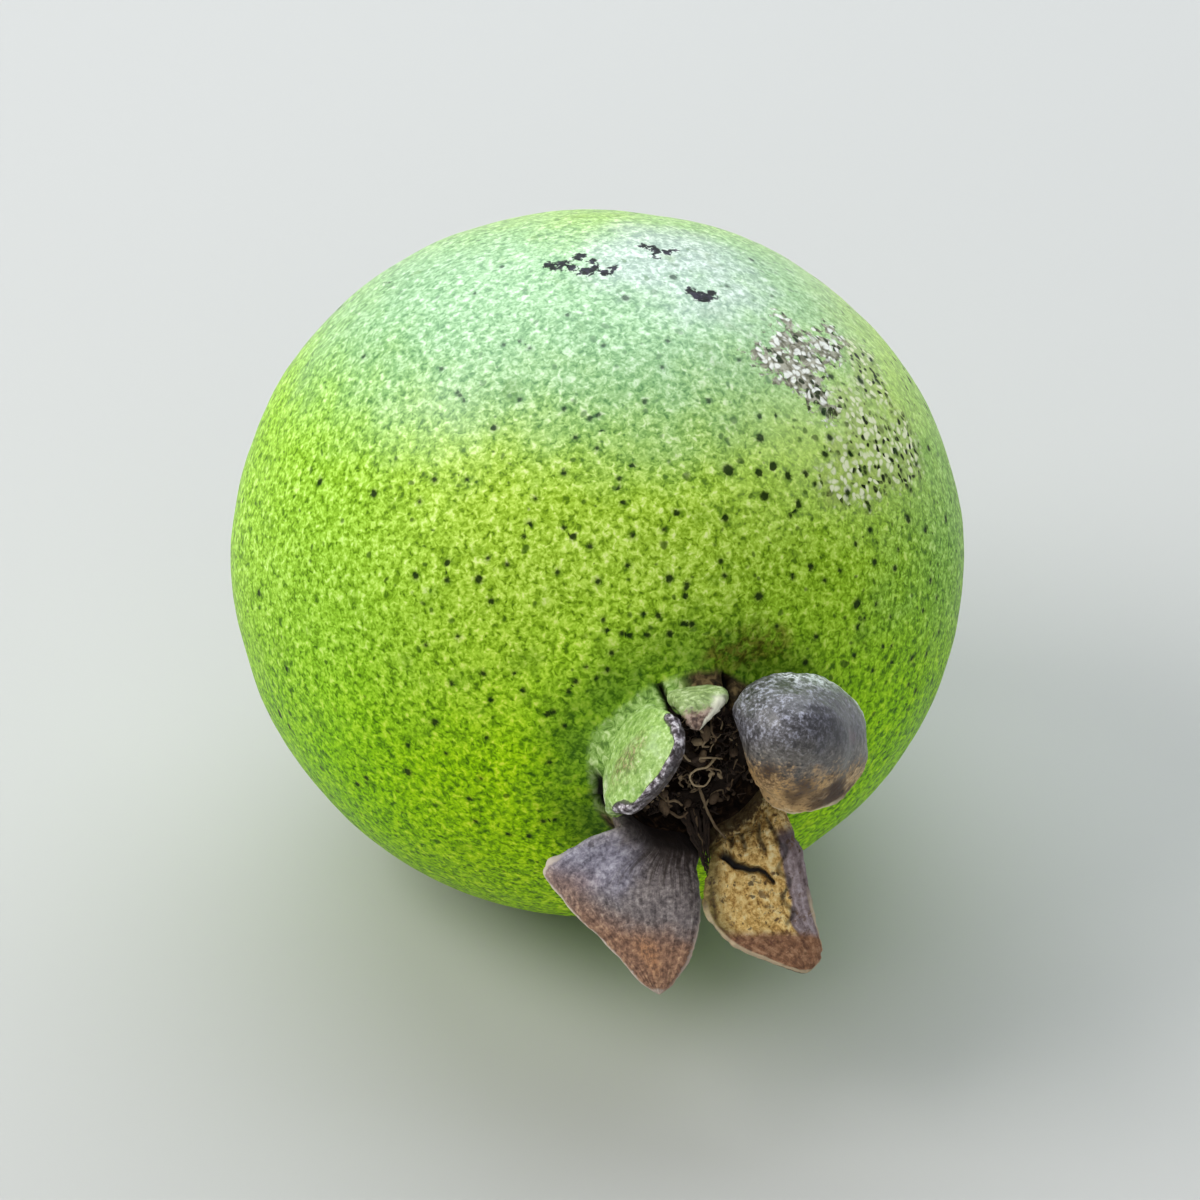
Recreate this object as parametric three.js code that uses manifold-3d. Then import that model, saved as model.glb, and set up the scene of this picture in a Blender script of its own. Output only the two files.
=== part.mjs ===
// A whole guava as picked, lying on its side on a small flat spot.
// Millimetres, +Z up. The origin is the centre of the flat spot, the calyx
// points along -Y and the stalk along +Y.
import * as THREE from 'three';
import { mergeVertices } from 'three/addons/utils/BufferGeometryUtils.js';
import Module from 'manifold-3d';

// ---- driving dimensions -------------------------------------------------
const FRUIT_RADIUS = 30.0;        // at the widest place, across the axis
const CENTRE_HEIGHT = 28.85;      // fruit centre above the flat spot
const RIM_HEIGHT = 31.0;          // top of the calyx rim, from the fruit centre
const RIM_RADIUS = 7.0;           // middle of the calyx rim
const CUP_RADIUS = 6.25;          // inside of the calyx cup
const CUP_FLOOR = 26.5;           // floor of the cup, from the fruit centre
const STEM_PIT = 26.9;            // bottom of the stalk pit, from the fruit centre
// The body is a ball that is a little wider across its cheeks than over its
// crown. Shares of the radius: shift, flattening and three-sidedness.
const CHEEK = new THREE.Vector3(0.9677, -0.2521, 0);
const CROWN = new THREE.Vector3(0.1467, 0.5633, 0.8131);
const SHIFT = [-0.0099, 0.0038];
const FLATTENING = [0.0159, -0.0018];
const THREE_SIDED = [0.0034, 0.0052];
const STALK_LENGTH = 15.4;
const STALK_RADIUS = 1.55;
const JOINT_GAP = 0.35;           // between pieces that touch
const AROUND = 60;                // facets around the fruit

// ---- helpers ------------------------------------------------------------
// Welds a geometry into one closed body with its faces pointing out.
function solid(geometry) {
  geometry.deleteAttribute('normal');
  geometry.deleteAttribute('uv');
  const g = mergeVertices(geometry, 1e-4);
  const p = g.attributes.position;
  const src = g.index.array;
  const keep = [];
  const a = new THREE.Vector3(), b = new THREE.Vector3(), c = new THREE.Vector3();
  let volume = 0;
  for (let i = 0; i < src.length; i += 3) {
    const [i0, i1, i2] = [src[i], src[i + 1], src[i + 2]];
    if (i0 === i1 || i1 === i2 || i0 === i2) continue;
    a.fromBufferAttribute(p, i0); b.fromBufferAttribute(p, i1); c.fromBufferAttribute(p, i2);
    volume += a.dot(b.clone().cross(c)) / 6;
    keep.push(i0, i1, i2);
  }
  if (volume < 0) for (let i = 0; i < keep.length; i += 3) [keep[i + 1], keep[i + 2]] = [keep[i + 2], keep[i + 1]];
  g.setIndex(keep);
  g.computeVertexNormals();
  return g;
}

function smooth(x, lo, hi) {
  const t = THREE.MathUtils.clamp((x - lo) / (hi - lo), 0, 1);
  return t * t * (3 - 2 * t);
}

function mesh(name, geometry, color, roughness) {
  const m = new THREE.Mesh(geometry, new THREE.MeshStandardMaterial({ color, roughness, metalness: 0 }));
  m.name = name;
  return m;
}

// ---- fruit --------------------------------------------------------------
// Profile from the middle of the cup floor, over the rim, around the body and
// into the stalk pit, as [radius, height along the axis].
const profile = [
  [0, CUP_FLOOR], [2.4, CUP_FLOOR - 0.05], [4.3, CUP_FLOOR + 0.2], [5.5, CUP_FLOOR + 1.0],
  [6.0, CUP_FLOOR + 2.3], [CUP_RADIUS, RIM_HEIGHT - 0.95], [6.45, RIM_HEIGHT - 0.3],
  [RIM_RADIUS, RIM_HEIGHT], [7.5, RIM_HEIGHT - 0.25], [7.8, RIM_HEIGHT - 0.95],
  [8.1, RIM_HEIGHT - 1.8], [8.6, RIM_HEIGHT - 2.5], [9.4, RIM_HEIGHT - 2.85], [10.8, RIM_HEIGHT - 3.25],
];
for (let t = 25; t <= 155.1; t += 6.5) {
  const k = THREE.MathUtils.degToRad(t);
  profile.push([FRUIT_RADIUS * Math.sin(k), FRUIT_RADIUS * Math.cos(k) * (t < 90 ? 1 : 0.977)]);
}
profile.push([9.4, -27.5], [6.2, -27.95], [4.0, -27.75], [2.6, -27.2], [0, -STEM_PIT]);

// Low swellings that keep the body from being a true ball. They fade out
// towards the calyx and the stalk, so the pieces there keep their places.
function swell(x, y, z) {
  const d = new THREE.Vector3(x, y, z).normalize();
  const c = d.dot(CHEEK), u = d.dot(CROWN);
  const lump = SHIFT[0] * c + SHIFT[1] * u
    + FLATTENING[0] * (c * c - u * u) + FLATTENING[1] * 2 * c * u
    + THREE_SIDED[0] * (c ** 3 - 3 * c * u * u) + THREE_SIDED[1] * (3 * c * c * u - u ** 3);
  return 1 + smooth(Math.hypot(x, z), 8.5, 15) * lump;
}

function fruitGeometry() {
  const g = new THREE.LatheGeometry(profile.map(([r, h]) => new THREE.Vector2(r, h)), AROUND);
  const p = g.attributes.position;
  for (let i = 0; i < p.count; i++) {
    const x = p.getX(i), y = -p.getY(i), z = p.getZ(i);
    const k = swell(x, y, z);
    p.setXYZ(i, x * k, y * k, z * k + CENTRE_HEIGHT);
  }
  return solid(g);
}

// ---- calyx lobes --------------------------------------------------------
// A lobe is a thin curved blade. Each row is one cross-section, from the rim to
// the tip: left edge, middle and right edge, each [across, up, outward from the
// rim], then the thickness.
const onRim = (degrees, outward, radius = RIM_RADIUS) => {
  const k = THREE.MathUtils.degToRad(degrees);
  return [radius * Math.cos(k), radius * Math.sin(k), outward];
};
const root = (left, middle, right) => [
  [onRim(left, JOINT_GAP), onRim(middle, JOINT_GAP), onRim(right, JOINT_GAP), 1.5],
  [onRim(left, 1.25), onRim(middle, 1.25), onRim(right, 1.25), 1.5],
];

const uprightRows = [
  [onRim(113, JOINT_GAP, 7.9), onRim(150, JOINT_GAP, 7.2), onRim(193, JOINT_GAP, 7.1), 1.5],
  [[-3.15, 8.05, 1.25], onRim(150, 1.25, 7.3), onRim(193, 1.25, 7.2), 1.55],
  [[-3.00, 8.70, 2.40], [-5.95, 5.35, 2.60], [-7.60, 0.30, 2.30], 1.50],
  [[-2.75, 9.05, 3.50], [-5.75, 6.25, 4.10], [-7.95, 1.15, 3.70], 1.40],
  [[-2.70, 9.15, 4.80], [-5.35, 6.40, 5.70], [-7.85, 1.75, 5.10], 1.30],
  [[-2.85, 8.85, 6.00], [-4.95, 6.25, 7.10], [-7.45, 2.30, 6.30], 1.15],
  [[-3.45, 8.10, 7.00], [-4.75, 6.35, 7.80], [-6.75, 3.40, 7.10], 0.90],
];
const stubRows = [
  [onRim(73, JOINT_GAP, 8.0), onRim(89, JOINT_GAP, 7.95), onRim(105, JOINT_GAP, 8.0), 1.5],
  [[2.15, 8.15, 1.00], [0.00, 8.35, 1.15], [-2.00, 8.05, 1.10], 1.50],
  [[1.55, 8.15, 1.85], [-0.25, 8.25, 2.10], [-1.85, 7.90, 2.00], 1.35],
  [[0.35, 7.80, 2.75], [-0.65, 7.75, 2.90], [-1.60, 7.55, 2.80], 1.15],
  [[-0.45, 7.47, 3.42], [-0.85, 7.42, 3.55], [-1.25, 7.36, 3.42], 0.80],
];
const domedRows = [
  ...root(62, 26, -12),
  [[2.78, 8.33, 2.10], [3.35, 5.28, 3.42], [4.97, 0.05, 2.86], 1.60],
  [[4.29, 9.38, 1.35], [3.14, 7.32, 6.09], [4.99, -0.29, 4.06], 1.60],
  [[6.70, 9.35, 0.50], [4.77, 8.51, 7.67], [6.17, -1.12, 4.73], 1.60],
  [[9.28, 8.31, -0.20], [7.10, 8.39, 7.86], [8.54, -1.84, 4.36], 1.50],
  [[11.78, 6.25, -1.04], [9.77, 6.83, 6.40], [11.11, -1.99, 2.85], 1.40],
  [[13.67, 3.42, -1.76], [12.43, 3.88, 3.17], [13.15, -1.56, 0.78], 1.20],
  [[14.65, 0.57, -2.44], [14.18, 0.74, -0.40], [14.30, -1.34, -1.12], 0.90],
];
const splitRows = [
  ...root(-83, -52, -20),
  [[0.50, -5.95, 3.05], [3.93, -4.91, 3.17], [6.69, -3.04, 3.26], 1.50],
  [[-0.41, -6.20, 4.62], [3.39, -5.90, 4.75], [7.20, -4.33, 5.09], 1.40],
  [[-1.07, -7.27, 5.85], [3.27, -7.51, 5.91], [7.38, -6.49, 6.48], 1.40],
  [[-0.97, -8.89, 7.35], [3.64, -9.21, 7.26], [7.58, -8.91, 7.81], 1.30],
  [[0.70, -10.54, 9.01], [4.65, -10.69, 8.88], [7.90, -11.00, 8.93], 1.20],
  [[3.38, -11.58, 10.47], [5.72, -11.81, 10.49], [7.74, -12.15, 10.00], 1.10],
  [[5.17, -12.19, 11.40], [6.04, -12.41, 11.53], [6.96, -12.50, 11.07], 0.80],
];
const pointedRows = [
  ...root(203, 234, 268),
  [[-8.85, -3.60, 0.95], [-4.90, -5.97, 2.20], [-0.62, -7.25, 2.44], 1.35],
  [[-11.35, -5.45, 0.00], [-5.70, -6.60, 3.05], [-0.77, -7.85, 3.71], 1.35],
  [[-12.61, -7.55, -0.74], [-6.10, -7.82, 3.83], [-1.05, -8.95, 5.21], 1.30],
  [[-11.56, -9.23, 1.03], [-6.04, -9.57, 4.75], [-1.60, -10.45, 6.30], 1.30],
  [[-9.64, -11.02, 3.36], [-5.78, -11.30, 5.85], [-2.32, -12.13, 7.11], 1.20],
  [[-7.68, -12.85, 5.74], [-5.52, -12.95, 7.14], [-3.43, -13.60, 7.91], 1.10],
  [[-6.04, -14.48, 8.01], [-5.39, -14.55, 8.61], [-4.67, -14.47, 8.48], 0.80],
];

function lobeGeometry(rows, across, along) {
  const track = (k) => new THREE.CatmullRomCurve3(
    rows.map((row) => new THREE.Vector3(row[k][0], -(RIM_HEIGHT + row[k][2]), CENTRE_HEIGHT + row[k][1])),
    false, 'catmullrom', 0.5);
  const [left, middle, right] = [track(0), track(1), track(2)];
  const thickness = (u) => {
    const t = u * (rows.length - 1), i = Math.min(Math.floor(t), rows.length - 2);
    return THREE.MathUtils.lerp(rows[i][3], rows[i + 1][3], t - i);
  };
  const at = (s, u) => {
    const l = left.getPoint(u), m = middle.getPoint(u), r = right.getPoint(u);
    return new THREE.Vector3()
      .addScaledVector(m, 1 - s * s)
      .addScaledVector(l, 0.5 * (s * s - s))
      .addScaledVector(r, 0.5 * (s * s + s));
  };
  // A box grid bent into the blade: x runs across, y along, z through it.
  const g = new THREE.BoxGeometry(2, 1, 2, across, along, 2);
  const p = g.attributes.position;
  const e = 1e-3;
  for (let i = 0; i < p.count; i++) {
    const s = p.getX(i), u = p.getY(i) + 0.5, n = p.getZ(i);
    const u0 = Math.max(u - e, 0), u1 = Math.min(u + e, 1);
    const along_ = at(s, u1).sub(at(s, u0)).normalize();
    const across_ = at(Math.min(s + e, 1), u).sub(at(Math.max(s - e, -1), u)).normalize();
    const normal = across_.clone().cross(along_).normalize();
    const edge = 1 - 0.55 * Math.abs(s) ** 6;
    const half = 0.5 * thickness(u) * edge;
    const point = at(s, u).addScaledVector(normal, n * half);
    if (n === 0) point.addScaledVector(across_, 0.18 * thickness(u) * Math.sign(s) * (Math.abs(s) > 0.999 ? 1 : 0));
    p.setXYZ(i, point.x, point.y, point.z);
  }
  return solid(g);
}

// ---- dried stamens ------------------------------------------------------
// The withered stamens stand as one ragged ring on the cup floor.
function stamenGeometry() {
  const floor = CUP_FLOOR + 0.75, top = RIM_HEIGHT - 2.6;
  const g = new THREE.LatheGeometry([
    [3.3, floor], [4.5, floor], [5.0, floor + 0.4], [5.2, top - 0.4],
    [4.9, top], [4.1, top - 0.1], [3.4, top - 0.5], [3.3, floor],
  ].map(([r, h]) => new THREE.Vector2(r, h)), 36);
  const p = g.attributes.position;
  for (let i = 0; i < p.count; i++) {
    const x = p.getX(i), h = p.getY(i), z = p.getZ(i);
    const a = Math.atan2(z, x);
    const up = smooth(h, floor + 0.5, top);
    const ragged = up * (0.28 * Math.sin(5 * a + 0.4) + 0.22 * Math.sin(11 * a) - 0.3);
    p.setXYZ(i, x, -(h + ragged), z + CENTRE_HEIGHT);
  }
  return solid(g);
}

// ---- style --------------------------------------------------------------
// What is left of the style: a thin bent stub in the middle of the cup.
function styleGeometry() {
  const length = RIM_HEIGHT - 1.9 - (CUP_FLOOR + JOINT_GAP);
  const g = new THREE.CylinderGeometry(0.42, 0.8, length, 10, 5);
  const p = g.attributes.position;
  for (let i = 0; i < p.count; i++) {
    const t = p.getY(i) / length + 0.5;
    const bend = 0.9 * t * t;
    p.setXYZ(i, p.getX(i) + bend, -(CUP_FLOOR + JOINT_GAP + t * length), p.getZ(i) - 0.5 * bend + CENTRE_HEIGHT);
  }
  return solid(g);
}

// ---- stalk --------------------------------------------------------------
// Short woody stalk, flared where it meets the fruit, cut square at its end.
function stalkGeometry() {
  const path = new THREE.CatmullRomCurve3([
    new THREE.Vector3(0, STEM_PIT + 0.75, 0),
    new THREE.Vector3(0, STEM_PIT + 0.75 + STALK_LENGTH * 0.33, 0.1),
    new THREE.Vector3(0.5, STEM_PIT + 0.75 + STALK_LENGTH * 0.67, 0.8),
    new THREE.Vector3(1.5, STEM_PIT + 0.75 + STALK_LENGTH, 2.2),
  ], false, 'catmullrom', 0.5);
  const g = new THREE.CylinderGeometry(1, 1, 1, 18, 16);
  const p = g.attributes.position;
  for (let i = 0; i < p.count; i++) {
    const t = THREE.MathUtils.clamp(p.getY(i) + 0.5, 0, 1);
    const c = path.getPoint(t), dir = path.getTangent(t);
    const sideways = new THREE.Vector3(1, 0, 0).addScaledVector(dir, -dir.x).normalize();
    const up = sideways.clone().cross(dir).normalize();
    const flare = 0.75 * (1 - smooth(t, 0, 0.22)) + 0.3 * smooth(t, 0.82, 1);
    const a = Math.atan2(p.getZ(i), p.getX(i));
    const r = Math.hypot(p.getX(i), p.getZ(i)) * (STALK_RADIUS + flare + 0.08 * Math.sin(3 * a + 4 * t));
    const point = c.addScaledVector(sideways, r * Math.cos(a)).addScaledVector(up, r * Math.sin(a));
    p.setXYZ(i, point.x, point.y, point.z + CENTRE_HEIGHT);
  }
  return solid(g);
}

// ---- the flat spot ------------------------------------------------------
// The underside of the fruit is cut level where it rests.
const wasm = await Module();
wasm.setup();

function toManifold(geometry) {
  const g = mergeVertices(geometry, 1e-4);
  return new wasm.Manifold(new wasm.Mesh({
    numProp: 3,
    vertProperties: new Float32Array(g.attributes.position.array),
    triVerts: new Uint32Array(g.index.array),
  }));
}

function fromManifold(body) {
  const m = body.getMesh();
  const g = new THREE.BufferGeometry();
  g.setAttribute('position', new THREE.BufferAttribute(new Float32Array(m.vertProperties), 3));
  g.setIndex(Array.from(m.triVerts));
  g.computeVertexNormals();
  return g;
}

const under = new THREE.BoxGeometry(80, 80, 20);
under.translate(0, 0, -10);
const fruit = fromManifold(toManifold(fruitGeometry()).subtract(toManifold(solid(under))));

// ---- the guava ----------------------------------------------------------
const guava = new THREE.Group();
guava.name = 'guava';
guava.add(
  mesh('fruit', fruit, 0x8fb02c, 0.42),
  mesh('sepal_upright', lobeGeometry(uprightRows, 10, 10), 0x9dbb62, 0.6),
  mesh('sepal_stub', lobeGeometry(stubRows, 8, 6), 0xa3a878, 0.65),
  mesh('sepal_domed', lobeGeometry(domedRows, 12, 16), 0x77727c, 0.7),
  mesh('sepal_split', lobeGeometry(splitRows, 10, 14), 0xa88f55, 0.75),
  mesh('sepal_pointed', lobeGeometry(pointedRows, 10, 14), 0x6c5f66, 0.75),
  mesh('dried_stamens', stamenGeometry(), 0x2a211c, 0.9),
  mesh('style_stub', styleGeometry(), 0x3d2f25, 0.9),
  mesh('stalk', stalkGeometry(), 0x6e6a3c, 0.8),
);

export default guava;
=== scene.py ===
"""A whole guava as picked, lying on its side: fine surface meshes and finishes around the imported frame.

All lengths in the geometry code are millimetres in the row frame; meshes are made in metres."""
import math
import bpy
import numpy as np
from mathutils import Matrix, Vector


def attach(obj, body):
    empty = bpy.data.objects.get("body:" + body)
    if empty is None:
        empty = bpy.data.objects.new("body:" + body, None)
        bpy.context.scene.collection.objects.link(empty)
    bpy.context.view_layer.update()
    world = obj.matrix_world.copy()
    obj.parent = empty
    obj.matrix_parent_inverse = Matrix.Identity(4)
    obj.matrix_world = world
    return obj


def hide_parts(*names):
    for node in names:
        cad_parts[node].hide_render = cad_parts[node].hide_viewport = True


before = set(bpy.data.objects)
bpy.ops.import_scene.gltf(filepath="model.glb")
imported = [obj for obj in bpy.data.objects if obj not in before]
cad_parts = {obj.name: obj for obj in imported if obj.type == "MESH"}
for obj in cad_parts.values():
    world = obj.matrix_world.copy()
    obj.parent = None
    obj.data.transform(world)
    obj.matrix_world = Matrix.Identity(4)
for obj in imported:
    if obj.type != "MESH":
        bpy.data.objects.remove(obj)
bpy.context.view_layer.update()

MM = 0.001

# ---- dimensions of the construction (millimetres) ----
FRUIT_RADIUS = 30.0
CENTRE_HEIGHT = 28.85
RIM_HEIGHT = 31.0
RIM_RADIUS = 7.0
CUP_RADIUS = 6.25
CUP_FLOOR = 26.5
STEM_PIT = 26.9
STALK_LENGTH = 15.4
STALK_RADIUS = 1.55
CHEEK = np.array([0.9677, -0.2521, 0.0])
CROWN = np.array([0.1467, 0.5633, 0.8131])
SHIFT = (-0.0099, 0.0038)
FLATTENING = (0.0159, -0.0018)
THREE_SIDED = (0.0034, 0.0052)

# ---- camera ----
AZ, EL = math.radians(-14.6), math.radians(35.6)
BACK = np.array([math.sin(AZ) * math.cos(EL), -math.cos(AZ) * math.cos(EL), math.sin(EL)])
RIGHT = np.array([math.cos(AZ), math.sin(AZ), 0.0])
UP = np.cross(BACK, RIGHT)
CENTRE = np.array([0.0, 0.0, CENTRE_HEIGHT])

cam_data = bpy.data.cameras.new("camera")
cam = bpy.data.objects.new("camera", cam_data)
bpy.context.scene.collection.objects.link(cam)
cam_data.sensor_width = 36.0
cam_data.lens = 252.0
cam_data.clip_start, cam_data.clip_end = 0.01, 50.0
eye = (CENTRE + BACK * 700.0 - UP * 3.2) * MM
cam.matrix_world = Matrix((
    (RIGHT[0], UP[0], BACK[0], eye[0]),
    (RIGHT[1], UP[1], BACK[1], eye[1]),
    (RIGHT[2], UP[2], BACK[2], eye[2]),
    (0, 0, 0, 1)))
bpy.context.scene.camera = cam

# ---- small numeric helpers ----
def smooth(x, lo, hi):
    t = np.clip((np.asarray(x, float) - lo) / (hi - lo), 0, 1)
    return t * t * (3 - 2 * t)


_order = np.random.default_rng(11).permutation(256)
ORDER = np.concatenate([_order, _order, _order])
_dirs = np.random.default_rng(12).normal(size=(256, 3))
DIRS = _dirs / np.linalg.norm(_dirs, axis=1, keepdims=True)


def gradient_noise(p):
    """Seeded lattice noise, about -1 to 1."""
    cell = np.floor(p).astype(int)
    f = p - cell
    w = f * f * f * (f * (f * 6 - 15) + 10)
    cell &= 255
    out = np.zeros(len(p))
    for dx in (0, 1):
        for dy in (0, 1):
            for dz in (0, 1):
                h = ORDER[ORDER[ORDER[(cell[:, 0] + dx) & 255] + ((cell[:, 1] + dy) & 255)] + ((cell[:, 2] + dz) & 255)]
                g = DIRS[h]
                dot = g[:, 0] * (f[:, 0] - dx) + g[:, 1] * (f[:, 1] - dy) + g[:, 2] * (f[:, 2] - dz)
                wx = w[:, 0] if dx else 1 - w[:, 0]
                wy = w[:, 1] if dy else 1 - w[:, 1]
                wz = w[:, 2] if dz else 1 - w[:, 2]
                out += wx * wy * wz * dot
    return out * 1.7


def field(points, scale, seed=0.0, octaves=1):
    """Smooth seeded noise, about -1 to 1, at points in mm; scale is the feature size in mm."""
    p = np.asarray(points, float)
    off = np.array([seed * 3.7 + 11.3, seed * 1.9 - 4.1, seed * 5.3 + 7.7])
    out = np.zeros(len(p))
    for k in range(octaves):
        out += 0.5 ** k * gradient_noise(p * (2.0 ** k / scale) + off)
    return out


def catmull(P, u):
    """Uniform Catmull-Rom through the rows of P, u in 0..1."""
    P = np.asarray(P, float)
    n = len(P)
    P = np.vstack([2 * P[0] - P[1], P, 2 * P[-1] - P[-2]])
    t = np.clip(np.asarray(u, float), 0, 1) * (n - 1)
    i = np.minimum(t.astype(int), n - 2)
    f = (t - i)[:, None]
    a, b, c, d = P[i], P[i + 1], P[i + 2], P[i + 3]
    return 0.5 * (2 * b + (c - a) * f + (2 * a - 5 * b + 4 * c - d) * f * f + (3 * b - 3 * c + d - a) * f ** 3)


def unit(v):
    return v / np.maximum(np.linalg.norm(v, axis=-1, keepdims=True), 1e-12)


def make_piece(name, verts_mm, faces, material, replaces, attributes=None):
    me = bpy.data.meshes.new(name)
    me.from_pydata([tuple(v) for v in np.asarray(verts_mm) * MM], [], faces)
    me.validate()
    me.update()
    for key, values in (attributes or {}).items():
        a = me.attributes.new(key, "FLOAT", "POINT")
        a.data.foreach_set("value", np.asarray(values, np.float32))
    me.polygons.foreach_set("use_smooth", [True] * len(me.polygons))
    me.materials.append(material)
    o = bpy.data.objects.new(name, me)
    bpy.context.scene.collection.objects.link(o)
    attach(o, "root")
    if replaces:
        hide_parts(replaces)
    return o


def grid_faces(rows, cols, wrap=True, offset=0):
    out = []
    for i in range(rows - 1):
        for j in range(cols if wrap else cols - 1):
            k = (j + 1) % cols
            out.append((offset + i * cols + j, offset + i * cols + k, offset + (i + 1) * cols + k, offset + (i + 1) * cols + j))
    return out


def facing_out(verts, faces):
    v = np.asarray(verts)
    vol = 0.0
    for f in faces:
        a, b, c = v[f[0]], v[f[1]], v[f[2]]
        vol += np.dot(a, np.cross(b, c))
        if len(f) == 4:
            vol += np.dot(a, np.cross(c, v[f[3]]))
    return faces if vol > 0 else [tuple(reversed(f)) for f in faces]


# ---- shader node helpers ----
def C(r, g, b):
    """An 8-bit display colour as linear RGBA."""
    f = lambda x: (x / 255 / 12.92) if x / 255 <= 0.04045 else ((x / 255 + 0.055) / 1.055) ** 2.4
    return (f(r), f(g), f(b), 1.0)


class Tree:
    def __init__(self, name):
        self.mat = bpy.data.materials.new(name)
        self.mat.use_nodes = True
        self.t = self.mat.node_tree
        self.t.nodes.clear()
        self.out = self.t.nodes.new("ShaderNodeOutputMaterial")
        self.bsdf = self.t.nodes.new("ShaderNodeBsdfPrincipled")
        self.t.links.new(self.bsdf.outputs[0], self.out.inputs["Surface"])
        co = self.t.nodes.new("ShaderNodeTexCoord")
        self.mm = self.vec("SCALE", co.outputs["Object"], scale=1000.0)

    def set(self, socket, value):
        if hasattr(value, "is_linked") or isinstance(value, bpy.types.NodeSocket):
            self.t.links.new(value, socket)
        elif value is not None:
            socket.default_value = value

    def vec(self, op, a, b=None, scale=None):
        n = self.t.nodes.new("ShaderNodeVectorMath")
        n.operation = op
        self.set(n.inputs[0], a)
        if b is not None:
            self.set(n.inputs[1], b)
        if scale is not None:
            self.set(n.inputs["Scale"], scale)
        return n.outputs["Value"] if op in ("LENGTH", "DISTANCE", "DOT_PRODUCT") else n.outputs["Vector"]

    def math(self, op, a, b=None, c=None, clamp=False):
        n = self.t.nodes.new("ShaderNodeMath")
        n.operation = op
        n.use_clamp = clamp
        self.set(n.inputs[0], a)
        if b is not None:
            self.set(n.inputs[1], b)
        if c is not None:
            self.set(n.inputs[2], c)
        return n.outputs[0]

    def xyz(self, v=None):
        n = self.t.nodes.new("ShaderNodeSeparateXYZ")
        self.set(n.inputs[0], v if v is not None else self.mm)
        return n.outputs

    def combine(self, x, y, z):
        n = self.t.nodes.new("ShaderNodeCombineXYZ")
        for s, v in zip(n.inputs, (x, y, z)):
            self.set(s, v)
        return n.outputs[0]

    def attr(self, name):
        n = self.t.nodes.new("ShaderNodeAttribute")
        n.attribute_name = name
        return n.outputs["Fac"]

    def noise(self, scale, detail=2.0, rough=0.5, distort=0.0, vec=None, kind="FBM", seed=0.0):
        n = self.t.nodes.new("ShaderNodeTexNoise")
        n.noise_dimensions = "3D"
        n.noise_type = kind
        v = vec if vec is not None else self.mm
        if seed:
            v = self.vec("ADD", v, (seed * 17.3, seed * 5.1 - 3.0, seed * 9.7))
        self.set(n.inputs["Vector"], v)
        n.inputs["Scale"].default_value = scale
        n.inputs["Detail"].default_value = detail
        n.inputs["Roughness"].default_value = rough
        n.inputs["Distortion"].default_value = distort
        return n.outputs["Fac"] if "Fac" in n.outputs else n.outputs[0]

    def voronoi(self, scale, feature="F1", vec=None, random=1.0, seed=0.0):
        n = self.t.nodes.new("ShaderNodeTexVoronoi")
        n.feature = feature
        v = vec if vec is not None else self.mm
        if seed:
            v = self.vec("ADD", v, (seed * 13.3, seed * 7.1 - 3.0, seed * 3.7))
        self.set(n.inputs["Vector"], v)
        n.inputs["Scale"].default_value = scale
        n.inputs["Randomness"].default_value = random
        return n.outputs

    def step(self, value, lo, hi, a=0.0, b=1.0):
        n = self.t.nodes.new("ShaderNodeMapRange")
        n.interpolation_type = "SMOOTHSTEP"
        self.set(n.inputs["Value"], value)
        n.inputs["From Min"].default_value = lo
        n.inputs["From Max"].default_value = hi
        n.inputs["To Min"].default_value = a
        n.inputs["To Max"].default_value = b
        return n.outputs["Result"]

    def mix(self, fac, a, b):
        n = self.t.nodes.new("ShaderNodeMix")
        n.data_type = "RGBA"
        self.set(n.inputs[0], fac)
        self.set(n.inputs[6], a)
        self.set(n.inputs[7], b)
        return n.outputs[2]

    def times(self, fac, a, b):
        n = self.t.nodes.new("ShaderNodeMix")
        n.data_type = "RGBA"
        n.blend_type = "MULTIPLY"
        self.set(n.inputs[0], fac)
        self.set(n.inputs[6], a)
        self.set(n.inputs[7], b)
        return n.outputs[2]

    def mixf(self, fac, a, b):
        n = self.t.nodes.new("ShaderNodeMix")
        n.data_type = "FLOAT"
        self.set(n.inputs[0], fac)
        self.set(n.inputs[2], a)
        self.set(n.inputs[3], b)
        return n.outputs[0]

    def ramp(self, fac, stops):
        n = self.t.nodes.new("ShaderNodeValToRGB")
        e = n.color_ramp.elements
        while len(e) < len(stops):
            e.new(0.5)
        for el, (p, c) in zip(e, stops):
            el.position = p
            el.color = c
        self.set(n.inputs[0], fac)
        return n.outputs[0]

    def bump(self, height, distance_mm, strength=1.0, normal=None):
        n = self.t.nodes.new("ShaderNodeBump")
        n.inputs["Strength"].default_value = strength
        n.inputs["Distance"].default_value = distance_mm * MM
        self.set(n.inputs["Height"], height)
        if normal is not None:
            self.set(n.inputs["Normal"], normal)
        return n.outputs[0]

    def finish(self, color, rough, normal=None, **constants):
        self.set(self.bsdf.inputs["Base Color"], color)
        self.set(self.bsdf.inputs["Roughness"], rough)
        if normal is not None:
            self.set(self.bsdf.inputs["Normal"], normal)
        for key, v in constants.items():
            self.bsdf.inputs[key.replace("_", " ")].default_value = v
        return self.mat


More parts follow.
